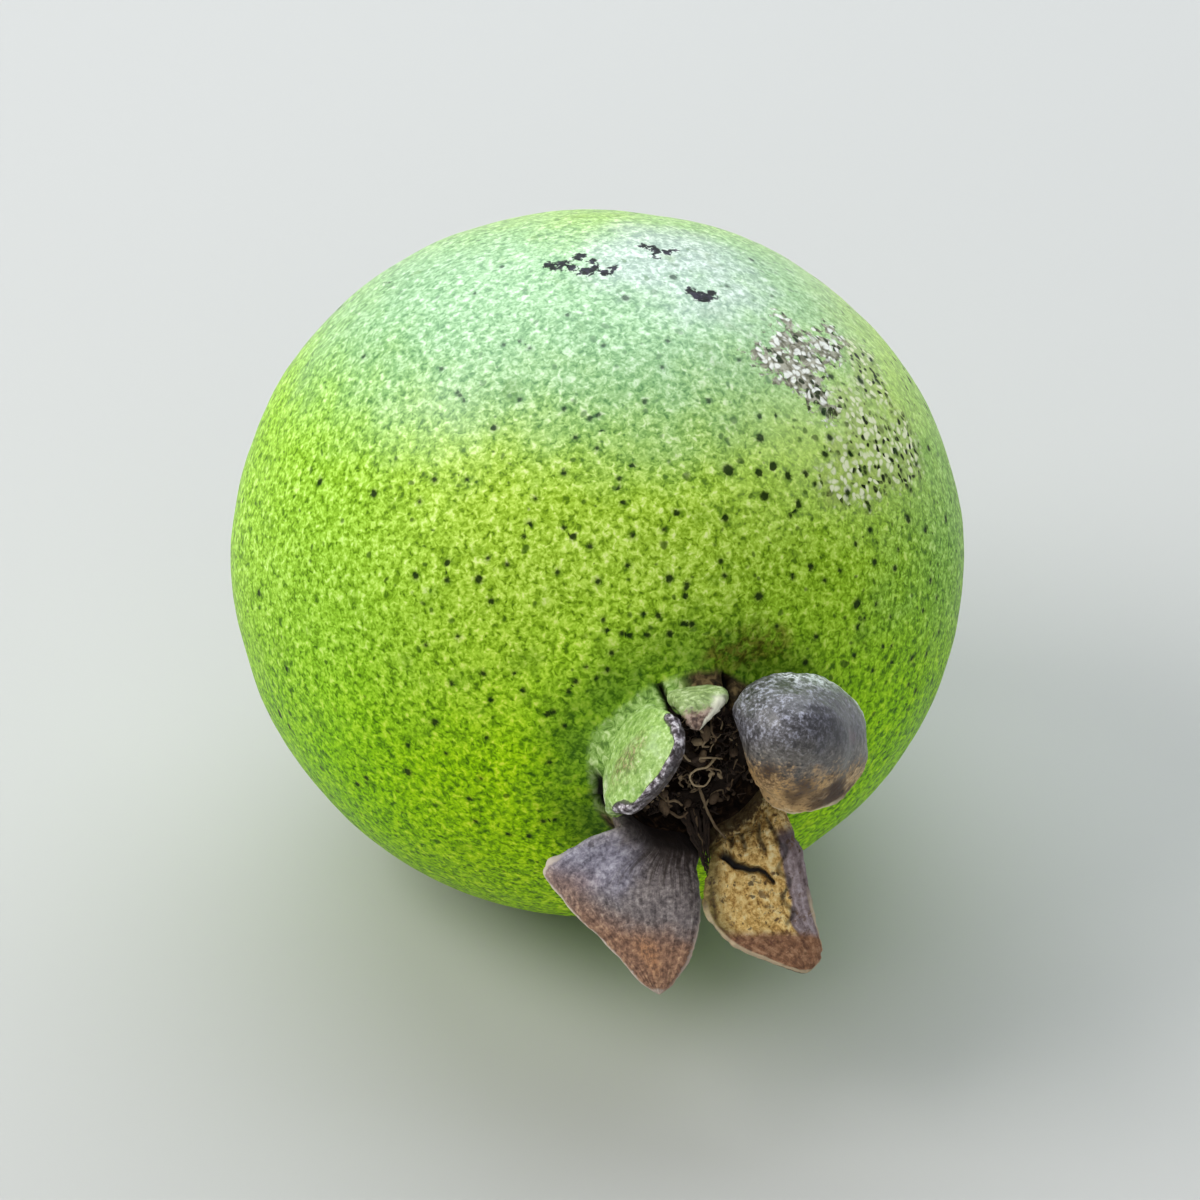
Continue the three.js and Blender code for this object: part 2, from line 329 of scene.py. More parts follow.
# ---- fruit ----
# Marks on the skin: direction from the fruit's centre and radius in mm.
MARKS = {
'blotch': [
    (-0.138, 0.044, 0.989, 0.29), (-0.118, 0.023, 0.993, 0.26), (-0.092, 0.034, 0.995, 0.26), (-0.078, 0.004, 0.997, 0.35),
    (-0.044, 0.055, 0.998, 0.35), (-0.044, -0.026, 0.999, 0.44), (-0.014, -0.011, 1.000, 0.26), (0.001, -0.047, 0.999, 0.32),
    (0.026, -0.028, 0.999, 0.20), (-0.018, 0.019, 1.000, 0.23), (0.144, 0.074, 0.987, 0.23), (0.162, 0.065, 0.985, 0.29),
    (0.177, 0.045, 0.983, 0.26), (0.201, 0.042, 0.979, 0.23), (0.225, 0.057, 0.973, 0.17), (0.160, 0.011, 0.987, 0.16),
    (0.220, -0.142, 0.965, 0.26), (0.232, -0.164, 0.959, 0.44), (0.255, -0.171, 0.952, 0.38), (0.281, -0.148, 0.948, 0.20),
],
'dot': [
    (0.186, -0.082, 0.979, 0.32), (0.030, -0.162, 0.986, 0.32), (0.461, 0.096, 0.882, 0.26), (0.334, -0.104, 0.937, 0.20),
    (0.464, -0.097, 0.881, 0.17), (-0.139, -0.187, 0.973, 0.17), (-0.405, -0.432, 0.806, 0.26), (-0.820, -0.193, 0.540, 0.26),
    (-0.712, -0.366, 0.599, 0.29), (-0.368, -0.669, 0.646, 0.23), (-0.265, -0.728, 0.632, 0.35), (-0.284, -0.707, 0.647, 0.16),
    (-0.577, -0.625, 0.525, 0.29), (-0.586, -0.647, 0.489, 0.23), (-0.511, -0.692, 0.509, 0.32), (-0.657, -0.587, 0.474, 0.29),
    (-0.482, -0.674, 0.560, 0.17), (-0.979, -0.128, 0.159, 0.26), (-0.490, -0.738, 0.464, 0.23), (-0.952, -0.306, 0.027, 0.23),
    (-0.958, -0.219, -0.185, 0.35), (-0.943, -0.267, -0.199, 0.26), (-0.654, -0.750, 0.102, 0.29), (-0.719, -0.688, -0.099, 0.35),
    (-0.802, -0.567, -0.188, 0.23), (-0.817, -0.526, -0.234, 0.23), (-0.529, -0.801, 0.280, 0.23), (-0.381, -0.905, 0.188, 0.26),
    (-0.173, -0.896, 0.410, 0.20), (0.306, -0.533, 0.789, 0.20), (0.352, -0.521, 0.778, 0.17), (0.500, -0.470, 0.727, 0.26),
    (0.182, -0.666, 0.724, 0.47), (0.268, -0.664, 0.698, 0.32), (0.311, -0.645, 0.698, 0.41), (0.350, -0.655, 0.670, 0.32),
    (0.404, -0.639, 0.655, 0.29), (0.271, -0.708, 0.652, 0.38), (0.365, -0.706, 0.607, 0.32), (0.336, -0.731, 0.594, 0.20),
    (0.017, -0.745, 0.667, 0.26), (0.148, -0.757, 0.636, 0.29), (0.710, -0.574, 0.408, 0.32), (0.858, -0.429, 0.282, 0.23),
    (0.768, -0.543, 0.340, 0.23), (0.593, -0.562, 0.576, 0.23), (0.841, -0.312, 0.441, 0.26), (0.775, -0.420, 0.472, 0.20),
    (0.710, -0.451, 0.540, 0.17), (0.522, -0.635, 0.570, 0.26), (0.523, -0.719, 0.458, 0.20), (0.117, -0.828, 0.549, 0.20),
    (0.375, -0.802, 0.464, 0.29), (-0.029, -0.847, 0.531, 0.32), (0.574, -0.720, 0.389, 0.23), (0.771, -0.601, 0.211, 0.23),
    (0.008, -0.874, 0.486, 0.23), (-0.111, -0.768, 0.631, 0.20), (-0.135, -0.811, 0.569, 0.20), (-0.025, -0.770, 0.638, 0.17),
    (0.655, -0.304, 0.692, 0.29), (0.720, -0.180, 0.671, 0.23), (-0.159, -0.581, 0.798, 0.17), (0.066, -0.411, 0.909, 0.17),
    (0.288, -0.385, 0.877, 0.16), (-0.134, -0.504, 0.853, 0.16), (-0.325, -0.394, 0.860, 0.16), (-0.488, -0.196, 0.851, 0.16),
    (-0.515, 0.352, 0.781, 0.16), (-0.346, 0.020, 0.938, 0.16), (-0.250, 0.102, 0.963, 0.17), (-0.506, 0.327, 0.798, 0.17),
    (-0.643, 0.031, 0.766, 0.16), (-0.217, -0.869, 0.444, 0.17), (0.503, -0.824, 0.259, 0.17), (0.614, -0.776, 0.144, 0.17),
    (0.794, -0.607, 0.040, 0.17),
    (0.708, -0.260, 0.656, 0.20), (0.293, -0.585, 0.756, 0.35), (0.169, -0.502, 0.848, 0.17), (0.474, -0.577, 0.665, 0.26),
    (0.501, -0.530, 0.684, 0.26), (0.554, -0.541, 0.633, 0.23), (0.734, -0.507, 0.453, 0.23), (0.574, -0.674, 0.465, 0.20),
    (0.641, -0.690, 0.336, 0.26), (0.584, -0.637, 0.503, 0.20), (0.660, -0.654, 0.370, 0.17), (0.426, -0.652, 0.627, 0.17),
    (0.560, -0.345, 0.754, 0.26), (0.213, -0.870, 0.445, 0.35), (0.122, -0.849, 0.514, 0.20), (0.320, -0.826, 0.464, 0.17),
    (-0.005, -0.497, 0.867, 0.20), (0.170, -0.505, 0.846, 0.23), (-0.160, -0.505, 0.848, 0.23), (-0.138, -0.544, 0.828, 0.20),
    (-0.220, -0.463, 0.858, 0.17), (-0.209, -0.541, 0.815, 0.16), (-0.257, -0.607, 0.752, 0.20), (-0.573, -0.456, 0.681, 0.20),
    (-0.497, -0.508, 0.704, 0.16), (-0.618, -0.472, 0.629, 0.17), (-0.467, -0.292, 0.834, 0.17), (-0.457, -0.322, 0.829, 0.16),
    (-0.324, -0.214, 0.921, 0.17), (-0.283, -0.223, 0.933, 0.16), (-0.263, -0.258, 0.929, 0.16), (-0.341, -0.629, 0.699, 0.16),
    (-0.076, -0.638, 0.766, 0.23), (-0.118, -0.658, 0.744, 0.17), (-0.121, -0.703, 0.700, 0.26), (-0.127, -0.679, 0.723, 0.17),
    (-0.225, -0.759, 0.611, 0.23), (-0.218, -0.817, 0.534, 0.23), (0.016, -0.859, 0.512, 0.23), (-0.438, -0.707, 0.555, 0.20),
    (-0.318, -0.771, 0.552, 0.16), (-0.386, -0.683, 0.620, 0.17), (-0.073, -0.317, 0.946, 0.16), (0.102, -0.333, 0.937, 0.16),
    (-0.209, -0.884, 0.418, 0.23), (-0.153, -0.902, 0.404, 0.23), (-0.106, -0.909, 0.402, 0.20), (-0.045, -0.916, 0.399, 0.26),
    (-0.006, -0.907, 0.420, 0.23), (0.016, -0.909, 0.415, 0.26), (-0.071, -0.892, 0.446, 0.23), (-0.109, -0.884, 0.454, 0.17),
    (-0.656, -0.685, 0.316, 0.17), (-0.580, -0.730, 0.362, 0.16), (-0.606, -0.760, 0.232, 0.20), (-0.516, -0.831, 0.210, 0.20),
    (-0.438, -0.864, 0.249, 0.20), (-0.717, -0.697, -0.001, 0.20), (-0.366, -0.910, 0.194, 0.20), (-0.455, -0.841, 0.292, 0.16),
    (-0.533, -0.841, 0.093, 0.17), (-0.382, -0.924, 0.036, 0.20), (-0.341, -0.928, 0.152, 0.17), (-0.304, -0.909, 0.285, 0.23),
    (-0.324, -0.911, 0.257, 0.20), (-0.219, -0.923, 0.317, 0.20), (-0.249, -0.922, 0.295, 0.17), (-0.205, -0.910, 0.361, 0.20),
    (-0.273, -0.905, 0.325, 0.16), (-0.558, -0.800, -0.220, 0.23), (-0.477, -0.843, -0.249, 0.23), (-0.428, -0.870, -0.244, 0.23),
    (-0.395, -0.902, -0.177, 0.23), (-0.366, -0.915, -0.169, 0.17), (-0.576, -0.806, -0.134, 0.23), (-0.550, -0.834, -0.047, 0.16),
    (-0.631, -0.775, 0.009, 0.16), (0.503, -0.802, 0.321, 0.38), (0.371, -0.882, 0.291, 0.23), (0.335, -0.913, 0.234, 0.26),
    (0.256, -0.898, 0.358, 0.17), (0.587, -0.793, 0.160, 0.20), (0.688, -0.723, 0.050, 0.23), (0.678, -0.735, -0.027, 0.20),
    (0.706, -0.705, -0.072, 0.20), (0.615, -0.783, 0.091, 0.17), (0.551, -0.828, 0.106, 0.17), (0.743, -0.669, 0.019, 0.20),
    (0.492, -0.851, 0.183, 0.17), (0.527, -0.806, 0.271, 0.16), (0.568, -0.771, 0.288, 0.16), (0.615, -0.756, 0.225, 0.16),
    (0.733, -0.661, 0.159, 0.17), (0.789, -0.596, 0.148, 0.17), (0.319, -0.830, 0.457, 0.16), (0.412, -0.809, 0.419, 0.16),
    (0.461, -0.780, 0.423, 0.17),
],
'scurf': [
    (0.457, -0.286, 0.842, 1.31), (0.502, -0.309, 0.808, 1.46), (0.571, -0.244, 0.783, 1.01), (0.403, -0.371, 0.837, 1.16),
    (0.461, -0.384, 0.800, 1.46), (0.498, -0.416, 0.761, 1.01), (0.366, -0.359, 0.859, 0.71), (0.508, -0.454, 0.732, 0.62),
    (0.619, -0.169, 0.767, 0.71), (0.473, -0.211, 0.855, 0.50),
],
'freckle': [
    (0.688, -0.199, 0.698, 0.86), (0.685, -0.284, 0.671, 1.16), (0.596, -0.412, 0.689, 0.86), (0.628, -0.449, 0.636, 1.16),
    (0.679, -0.449, 0.580, 1.16), (0.702, -0.481, 0.526, 1.16), (0.636, -0.532, 0.560, 0.86), (0.762, -0.416, 0.496, 0.86),
    (0.756, -0.363, 0.544, 0.86), (0.576, -0.599, 0.557, 0.86), (0.494, -0.634, 0.595, 0.86), (0.546, -0.555, 0.627, 0.86),
],
'brown': [
    (0.091, -0.941, 0.327, 0.86), (0.152, -0.934, 0.323, 1.16), (0.216, -0.922, 0.321, 0.86), (0.259, -0.910, 0.322, 0.56),
],
}


def swell(p):
    d = unit(p)
    c, u = d @ CHEEK, d @ CROWN
    lump = (SHIFT[0] * c + SHIFT[1] * u + FLATTENING[0] * (c * c - u * u) + FLATTENING[1] * 2 * c * u
            + THREE_SIDED[0] * (c ** 3 - 3 * c * u * u) + THREE_SIDED[1] * (3 * c * c * u - u ** 3))
    return 1 + smooth(np.hypot(p[:, 0], p[:, 2]), 8.5, 15) * lump


def fruit_profile(rows):
    pts = [(0, CUP_FLOOR), (2.4, CUP_FLOOR - 0.05), (4.3, CUP_FLOOR + 0.2), (5.5, CUP_FLOOR + 1.0),
           (6.0, CUP_FLOOR + 2.3), (CUP_RADIUS, RIM_HEIGHT - 0.95), (6.45, RIM_HEIGHT - 0.3),
           (RIM_RADIUS, RIM_HEIGHT), (7.5, RIM_HEIGHT - 0.25), (7.8, RIM_HEIGHT - 0.95),
           (8.1, RIM_HEIGHT - 1.8), (8.6, RIM_HEIGHT - 2.5), (9.4, RIM_HEIGHT - 2.85), (10.8, RIM_HEIGHT - 3.25)]
    for t in np.arange(25, 155.1, 6.5):
        k = math.radians(t)
        pts.append((FRUIT_RADIUS * math.sin(k), FRUIT_RADIUS * math.cos(k) * (1 if t < 90 else 0.977)))
    pts += [(9.4, -27.5), (6.2, -27.95), (4.0, -27.75), (2.6, -27.2), (0, -STEM_PIT)]
    fine = catmull(pts, np.linspace(0, 1, 4000))
    fine[:, 0] = np.maximum(fine[:, 0], 0)
    step = np.linalg.norm(np.diff(fine, axis=0), axis=1)
    mid = 0.5 * (fine[1:] + fine[:-1])
    near_cup = (mid[:, 1] > 20) & (mid[:, 0] < 13)
    near_pit = (mid[:, 1] < -22) & (mid[:, 0] < 11)
    density = np.where(near_cup, 2.1, np.where(near_pit, 1.3, 1.0))
    s = np.concatenate([[0], np.cumsum(step * density)])
    u = np.linspace(0, s[-1], rows)
    return np.stack([np.interp(u, s, fine[:, 0]), np.interp(u, s, fine[:, 1])], 1)


# More single dots on the side turned away, as thick on the skin as on the near side.
far_side = np.random.default_rng(11)
while len(MARKS["dot"]) < 420:
    m = far_side.normal(size=3)
    m /= np.linalg.norm(m)
    if m @ np.array([-0.2050, -0.7868, 0.5821]) > 0.16 or abs(m[1]) > 0.93:
        continue
    if min(np.linalg.norm(m - np.array(o[:3])) for o in MARKS["dot"]) > 0.055:
        MARKS["dot"].append((m[0], m[1], m[2], 0.16 + 0.22 * far_side.uniform() ** 2))


def build_fruit():
    ROWS, COLS = 236, 400
    prof = fruit_profile(ROWS)
    phi = np.linspace(0, 2 * np.pi, COLS, endpoint=False)
    body = prof[1:-1]
    r, h = body[:, 0][:, None], body[:, 1][:, None]
    P = np.stack([r * np.sin(phi) + 0 * h, -h + 0 * (r * phi), r * np.cos(phi) + 0 * h], -1).reshape(-1, 3)
    P = np.vstack([P, [[0, -prof[0, 1], 0], [0, -prof[-1, 1], 0]]])
    rad = np.hypot(P[:, 0], P[:, 2])
    ang = np.arctan2(P[:, 2], P[:, 0])
    P = P * swell(P)[:, None]
    out = unit(P)
    # Soft unevenness of the grown body, gone at the collar and the pit.
    away = smooth(rad, 9.5, 16)
    dents = 0.22 * field(P, 13.0, 1) + 0.10 * field(P, 5.0, 2) + 0.028 * field(P, 1.7, 3)
    P = P + out * (away * dents)[:, None]
    # The collar is not a turned ring: shallow lengthwise folds and a wavy rim.
    front = P[:, 1] < -20
    on_collar = front * smooth(rad, 6.2, 7.4) * (1 - smooth(rad, 9.0, 11.5))
    fold = 0.16 * np.sin(5 * ang + 0.7) + 0.12 * np.sin(9 * ang + 2.1) + 0.07 * np.sin(17 * ang)
    side = np.stack([np.cos(ang), 0 * ang, np.sin(ang)], 1)
    P = P + side * (on_collar * fold)[:, None]
    ring = front * smooth(rad, 8.2, 9.6) * (1 - smooth(rad, 11.0, 15.0))
    P[:, 1] += ring * (0.10 + 0.12 * np.sin(7 * ang + 1.0) + 0.06 * np.sin(13 * ang))
    # The calyx has torn into lobes: a notch through the rim between each pair.
    turn_deg = np.degrees(ang) % 360
    notch = np.zeros(len(P))
    for where, wide, deep in ((107.5, 2.4, 1.25), (68.5, 3.0, 1.3), (343.5, 3.5, 1.0), (273.5, 2.5, 1.0), (198.0, 3.0, 0.9)):
        notch = np.maximum(notch, deep * np.exp(-(((turn_deg - where + 180) % 360 - 180) / wide) ** 2))
    band = front * smooth(rad, 5.9, 6.5) * (1 - smooth(rad, 8.2, 8.9))
    P[:, 1] += band * notch
    P = P - side * (front * smooth(rad, 7.4, 7.9) * (1 - smooth(rad, 8.8, 9.4)) * notch * 0.40)[:, None]
    under = front * np.exp(-((rad - 8.08) / 0.44) ** 2) * smooth(turn_deg, 168, 184) * (1 - smooth(turn_deg, 201, 207))
    P = P - side * (0.55 * under)[:, None]
    in_cup = front * (1 - smooth(rad, 5.9, 6.7))
    P[:, 1] += in_cup * 0.25 * field(P, 1.3, 4)
    back = P[:, 1] > 20
    pucker = back * (1 - smooth(rad, 4.5, 10.0)) * smooth(rad, 1.6, 3.2)
    P[:, 1] += pucker * (0.12 * np.sin(9 * ang) + 0.07 * np.sin(16 * ang + 1))
    z = P[:, 2] + CENTRE_HEIGHT
    # The resting cheek is pressed flat.
    P[:, 2] = np.where(z < 0.0, -CENTRE_HEIGHT, P[:, 2])

    n = (ROWS - 2) * COLS
    faces = grid_faces(ROWS - 2, COLS)
    faces += [(n, (j + 1) % COLS, j) for j in range(COLS)]
    base = (ROWS - 3) * COLS
    faces += [(n + 1, base + j, base + (j + 1) % COLS) for j in range(COLS)]
    faces = facing_out(P, faces)

    d = unit(P)
    wob = np.stack([field(P, 0.8, 11), field(P, 0.8, 12), field(P, 0.8, 13)], 1)
    def marks(key, jitter):
        q = unit(d * 30 + wob * jitter)
        best = np.full(len(P), 9.0)
        for x, y, zz, rr in MARKS[key]:
            m = unit(np.array([x, y, zz]))
            best = np.minimum(best, 30 * np.arccos(np.clip(q @ m, -1, 1)) - rr)
        return best
    # Nearest single dot: its centre and radius, so that the shader can draw it round.
    centre = unit(np.array([m[:3] for m in MARKS["dot"]]))
    radius = np.array([m[3] for m in MARKS["dot"]])
    away_from = 30 * np.arccos(np.clip(d @ centre.T, -1, 1))
    order = np.argsort(away_from - radius, axis=1)[:, :2]
    row = np.arange(len(P))
    first, second = away_from[row, order[:, 0]], away_from[row, order[:, 1]]
    here = (first < 1.5) & ((second - first > 0.5) | (first < 0.5))
    dot_r = np.where(here, radius[order[:, 0]], -1.0)
    dot_at = centre[order[:, 0]]
    psi = np.degrees(ang)
    psi_full = psi % 360
    green_side = smooth(psi, 55, 75) * (1 - smooth(np.abs((psi - 150 + 180) % 360 - 180), 48, 62))
    green_side = np.where(psi < 0, 1 - smooth(np.abs((psi - 150 + 180) % 360 - 180), 48, 62), green_side)
    # Where the notches and the undercut lie, for painted shade in the skin's finish.
    painted_crevice_shade = np.clip(np.maximum(under * 1.3, np.clip(notch * 1.1 - 0.25, 0, 1) * front * smooth(rad, 6.3, 6.8) * (1 - smooth(rad, 8.1, 8.6))), 0, 1)
    attrs = {
        "blotch": marks("blotch", 0.25),
        "dot_r": dot_r,
        "dot_x": dot_at[:, 0],
        "dot_y": dot_at[:, 1],
        "dot_z": dot_at[:, 2],
        "scurf": marks("scurf", 0.9),
        "freckle": marks("freckle", 0.9),
        "russet": marks("brown", 0.8),
        "collar": front * (1 - smooth(rad, 8.3, 8.85)) * (P[:, 1] < -26.0),
        "cup": front * (1 - smooth(rad, 6.55, 6.95)),
        "halo": front * (1 - smooth(rad, 9.5, 15.0)),
        "greenside": green_side,
        "painted_crevice_shade": painted_crevice_shade,
        "pit": back * (1 - smooth(rad, 3.0, 9.0)),
    }
    P[:, 2] += CENTRE_HEIGHT
    return P, faces, attrs


def skin_material():
    t = Tree("guava_skin")
    x, y, z = t.xyz()
    centred = t.vec("SUBTRACT", t.mm, (0.0, 0.0, CENTRE_HEIGHT))
    # Height along the sunny side of the fruit and along its flank, in fruit radii.
    high = t.math("MULTIPLY", t.vec("DOT_PRODUCT", centred, tuple(CROWN)), 1 / 30)
    flank = t.math("MULTIPLY", t.vec("DOT_PRODUCT", centred, tuple(CHEEK)), 1 / 30)
    patchy = t.noise(0.06, 2, 0.55, 0.0, seed=2)
    mid = t.noise(0.33, 3, 0.6, 0.0, seed=3)
    grain = t.noise(1.55, 2, 0.55, 0.5, seed=4)
    worm = t.noise(2.2, 1, 0.5, 0.9, seed=5)
    fine = t.noise(4.2, 1, 0.6, 0.0, seed=6)

    drift = t.math("MULTIPLY_ADD", t.math("SUBTRACT", mid, 0.5), 0.22, t.math("MULTIPLY", t.math("SUBTRACT", patchy, 0.5), 0.30))
    level = t.math("ADD", high, drift)
    facing_up = t.xyz(t.vec("NORMALIZE", centred))[2]
    wide = t.math("MULTIPLY_ADD", flank, t.math("MULTIPLY_ADD", flank, 0.16, -0.035), t.math("MULTIPLY", facing_up, 0.92))
    # The upper zone of pale bloom, which is partly a waxy bloom and partly painted sheen standing in for the sky's
    # reflection.
    bloom_and_sheen_zone = t.step(t.math("MULTIPLY_ADD", drift, 0.55, t.math("MULTIPLY_ADD", high, 0.14, wide)), 0.65, 0.98)
    bloom_and_sheen_zone = t.math("MULTIPLY", bloom_and_sheen_zone, t.step(t.math("MULTIPLY_ADD", drift, 0.5, high), 1.02, 0.78, 0.25, 1.0))
    under = t.step(level, 0.02, -0.62)
    speck = t.math("MULTIPLY_ADD", grain, 0.48, t.math("MULTIPLY_ADD", worm, 0.42, t.math("MULTIPLY", fine, 0.10)))

    body = t.ramp(speck, [(0.35, C(88, 124, 16)), (0.44, C(140, 178, 36)), (0.51, C(174, 212, 66)), (0.58, C(206, 238, 102)), (0.66, C(236, 252, 160))])
    bloom_and_painted_sheen = t.ramp(speck, [(0.36, C(90, 150, 92)), (0.45, C(133, 187, 130)), (0.51, C(159, 206, 154)), (0.57, C(186, 225, 184)), (0.65, C(220, 243, 222))])
    deep = t.ramp(speck, [(0.35, C(70, 114, 0)), (0.44, C(124, 176, 0)), (0.51, C(162, 218, 2)), (0.58, C(198, 240, 20)), (0.66, C(232, 253, 74))])
    c = t.mix(under, body, deep)
    # Painted light and shade by place on the fruit: painted shade low on the right flank, a faint greener tint on the
    # left flank, painted shade on the lower-left belly and painted light on the upper-right shoulder.
    c = t.times(t.math("MULTIPLY", t.step(flank, 0.15, 0.90), t.step(level, 0.35, -0.2, 0.0, 0.85)), c, C(224, 248, 106))
    c = t.times(t.step(flank, -0.25, -0.80), c, C(236, 254, 236))
    c = t.times(t.math("MULTIPLY", t.step(flank, 0.05, -0.55), t.step(level, 0.12, -0.42)), c, C(237, 237, 237))
    c = t.mix(t.math("MULTIPLY", t.step(flank, 0.22, 0.58), t.step(level, -0.02, 0.40, 0.0, 0.48)), c, C(212, 240, 158))
    # Pale bluish bloom over the upper zone: partly waxy bloom, partly painted sheen.
    c = t.mix(t.math("MULTIPLY", bloom_and_sheen_zone, 0.92), c, bloom_and_painted_sheen)
    # Painted highlight: a whitish reflection of the sky on the very top.
    top_painted_highlight = t.vec("DOT_PRODUCT", t.vec("NORMALIZE", centred), (0.241, -0.002, 0.970))
    top_painted_highlight = t.step(t.math("MULTIPLY_ADD", drift, 0.30, top_painted_highlight), 0.940, 0.995, 0.0, 0.60)
    c = t.mix(top_painted_highlight, c, t.mix(t.step(speck, 0.40, 0.62), C(164, 180, 182), C(238, 244, 250)))
    # The right cheek is darker and bluer green.
    cheek = t.ramp(speck, [(0.35, C(56, 112, 34)), (0.44, C(96, 154, 58)), (0.51, C(128, 188, 84)), (0.58, C(160, 214, 116)), (0.66, C(204, 240, 164))])
    c = t.mix(t.math("MULTIPLY", t.step(t.math("MULTIPLY_ADD", drift, 1.1, flank), 0.68, 1.06, 0.0, 0.62), t.step(level, -0.40, 0.05)), c, cheek)
    # Faint cloudiness, a greener rim band on the far side of the crown.
    c = t.mix(t.step(mid, 0.56, 0.74, 0, 0.35), c, C(104, 148, 30))
    c = t.mix(t.math("MULTIPLY", t.step(high, 0.88, 0.98), 0.14), c, C(160, 204, 80))

    # Gland dots: fine ones everywhere, larger soft ones scattered, thicker on one flank.
    jig = t.vec("ADD", t.mm, t.vec("SCALE", t.combine(t.noise(1.1, 0, 0.5, 0, seed=1), t.noise(1.1, 0, 0.5, 0, seed=7), t.noise(1.1, 0, 0.5, 0, seed=8)), scale=0.7))
    crowd = t.step(t.math("MULTIPLY_ADD", flank, 0.35, t.noise(0.12, 0, 0.5, 0, seed=18)), 0.28, 0.78)

    def scatter(scale, small, spread, share, soft, seed):
        v = t.voronoi(scale, vec=jig, seed=seed)
        pick = t.xyz(v["Color"])
        radius = t.math("MULTIPLY_ADD", pick[1], spread, small)
        inside = t.math("SUBTRACT", radius, v["Distance"])
        keep = t.math("GREATER_THAN", t.math("MULTIPLY_ADD", crowd, 0.42, pick[0]), share)
        return t.math("MULTIPLY", t.step(inside, -soft, soft), keep)

    specks = scatter(0.80, 0.10, 0.12, 0.78, 0.08, 3)
    dots = scatter(0.42, 0.07, 0.085, 0.80, 0.045, 5)
    # Dots in the upper zone are paler and bluer, under the painted sheen.
    tone = t.mix(bloom_and_sheen_zone, t.mix(under, C(40, 78, 10), C(36, 78, 2)), C(84, 134, 80))
    c = t.mix(t.math("MULTIPLY", specks, 0.75), c, tone)
    c = t.mix(t.math("MULTIPLY", dots, t.mixf(bloom_and_sheen_zone, 0.72, 0.5)), c, t.mix(bloom_and_sheen_zone, C(20, 50, 6), C(64, 112, 66)))

    # Shaded ring round the collar and its brownish patch.
    rust = t.noise(1.3, 3, 0.62, 0.8, seed=10)
    halo = t.attr("halo")
    c = t.mix(t.math("MULTIPLY", halo, t.step(mid, 0.3, 0.6, 0.5, 0.8)), c, t.mix(t.step(speck, 0.40, 0.60), C(50, 90, 18), C(106, 150, 44)))
    russet = t.math("MULTIPLY", t.step(t.attr("russet"), 1.8, -0.8), t.step(rust, 0.36, 0.60))
    c = t.mix(t.math("MULTIPLY", russet, 0.8), c, t.mix(t.step(speck, 0.42, 0.6), C(70, 58, 14), C(124, 108, 40)))
    # Collar: pale green under the green sepals; elsewhere dark brown, partly dried tissue and partly painted shade.
    collar = t.attr("collar")
    pale = t.ramp(rust, [(0.36, C(84, 118, 50)), (0.46, C(128, 164, 78)), (0.54, C(154, 188, 104)), (0.66, C(200, 222, 156))])
    dull_and_shaded = t.ramp(rust, [(0.34, C(26, 20, 12)), (0.50, C(66, 54, 34)), (0.68, C(116, 98, 66))])
    c = t.mix(collar, c, t.mix(t.attr("greenside"), dull_and_shaded, pale))
    # Painted shade: near-black in the notches of the rim and under the overhanging sepal edge.
    c = t.mix(t.attr("painted_crevice_shade"), c, C(8, 8, 4))

    # Grey scurf with pale and dark flecks, and freckles trailing away from it.
    rag = t.math("SUBTRACT", t.noise(0.95, 4, 0.70, 0.6, seed=13), 0.5)
    fleck = grain
    bead = t.voronoi(1.75, vec=jig, seed=12)
    pick = t.xyz(bead["Color"])
    patch = t.step(t.math("ADD", t.attr("scurf"), t.math("MULTIPLY", rag, 7.0)), 0.80, 0.05)
    scurf = t.ramp(fleck, [(0.38, C(104, 100, 86)), (0.50, C(144, 138, 124)), (0.62, C(186, 182, 168))])
    scurf = t.mix(t.math("MULTIPLY", t.step(bead["Distance"], 0.66, 0.36), t.math("GREATER_THAN", pick[0], 0.44)), scurf, C(255, 255, 250))
    scurf = t.mix(t.math("MULTIPLY", t.step(bead["Distance"], 0.60, 0.36), t.math("LESS_THAN", pick[0], 0.28)), scurf, C(22, 22, 16))
    c = t.mix(t.math("MULTIPLY", patch, 0.94), c, scurf)
    trail = t.step(t.math("ADD", t.attr("freckle"), t.math("MULTIPLY", rag, 3.0)), 2.0, 0.1)
    c = t.mix(t.math("MULTIPLY", trail, 0.38), c, C(166, 174, 108))
    c = t.mix(t.math("MULTIPLY", t.math("MULTIPLY", t.step(bead["Distance"], 0.66, 0.34), t.math("GREATER_THAN", pick[0], 0.46)), trail), c, C(242, 247, 208))
    c = t.mix(t.math("MULTIPLY", t.math("MULTIPLY", t.step(bead["Distance"], 0.58, 0.32), t.math("LESS_THAN", pick[0], 0.38)), trail), c, C(26, 36, 14))

    # Single scars and dots where they lie on this fruit.
    edge = t.math("MULTIPLY", t.math("SUBTRACT", worm, 0.5), 0.7)
    spot = t.vec("NORMALIZE", t.combine(t.attr("dot_x"), t.attr("dot_y"), t.attr("dot_z")))
    reach = t.math("MULTIPLY", t.vec("DISTANCE", t.vec("NORMALIZE", centred), spot), 30.0)
    beyond = t.math("ADD", t.math("SUBTRACT", reach, t.attr("dot_r")), t.math("MULTIPLY", edge, 0.45))
    ring = t.step(beyond, 0.50, 0.10)
    dot = t.step(beyond, 0.16, -0.12)
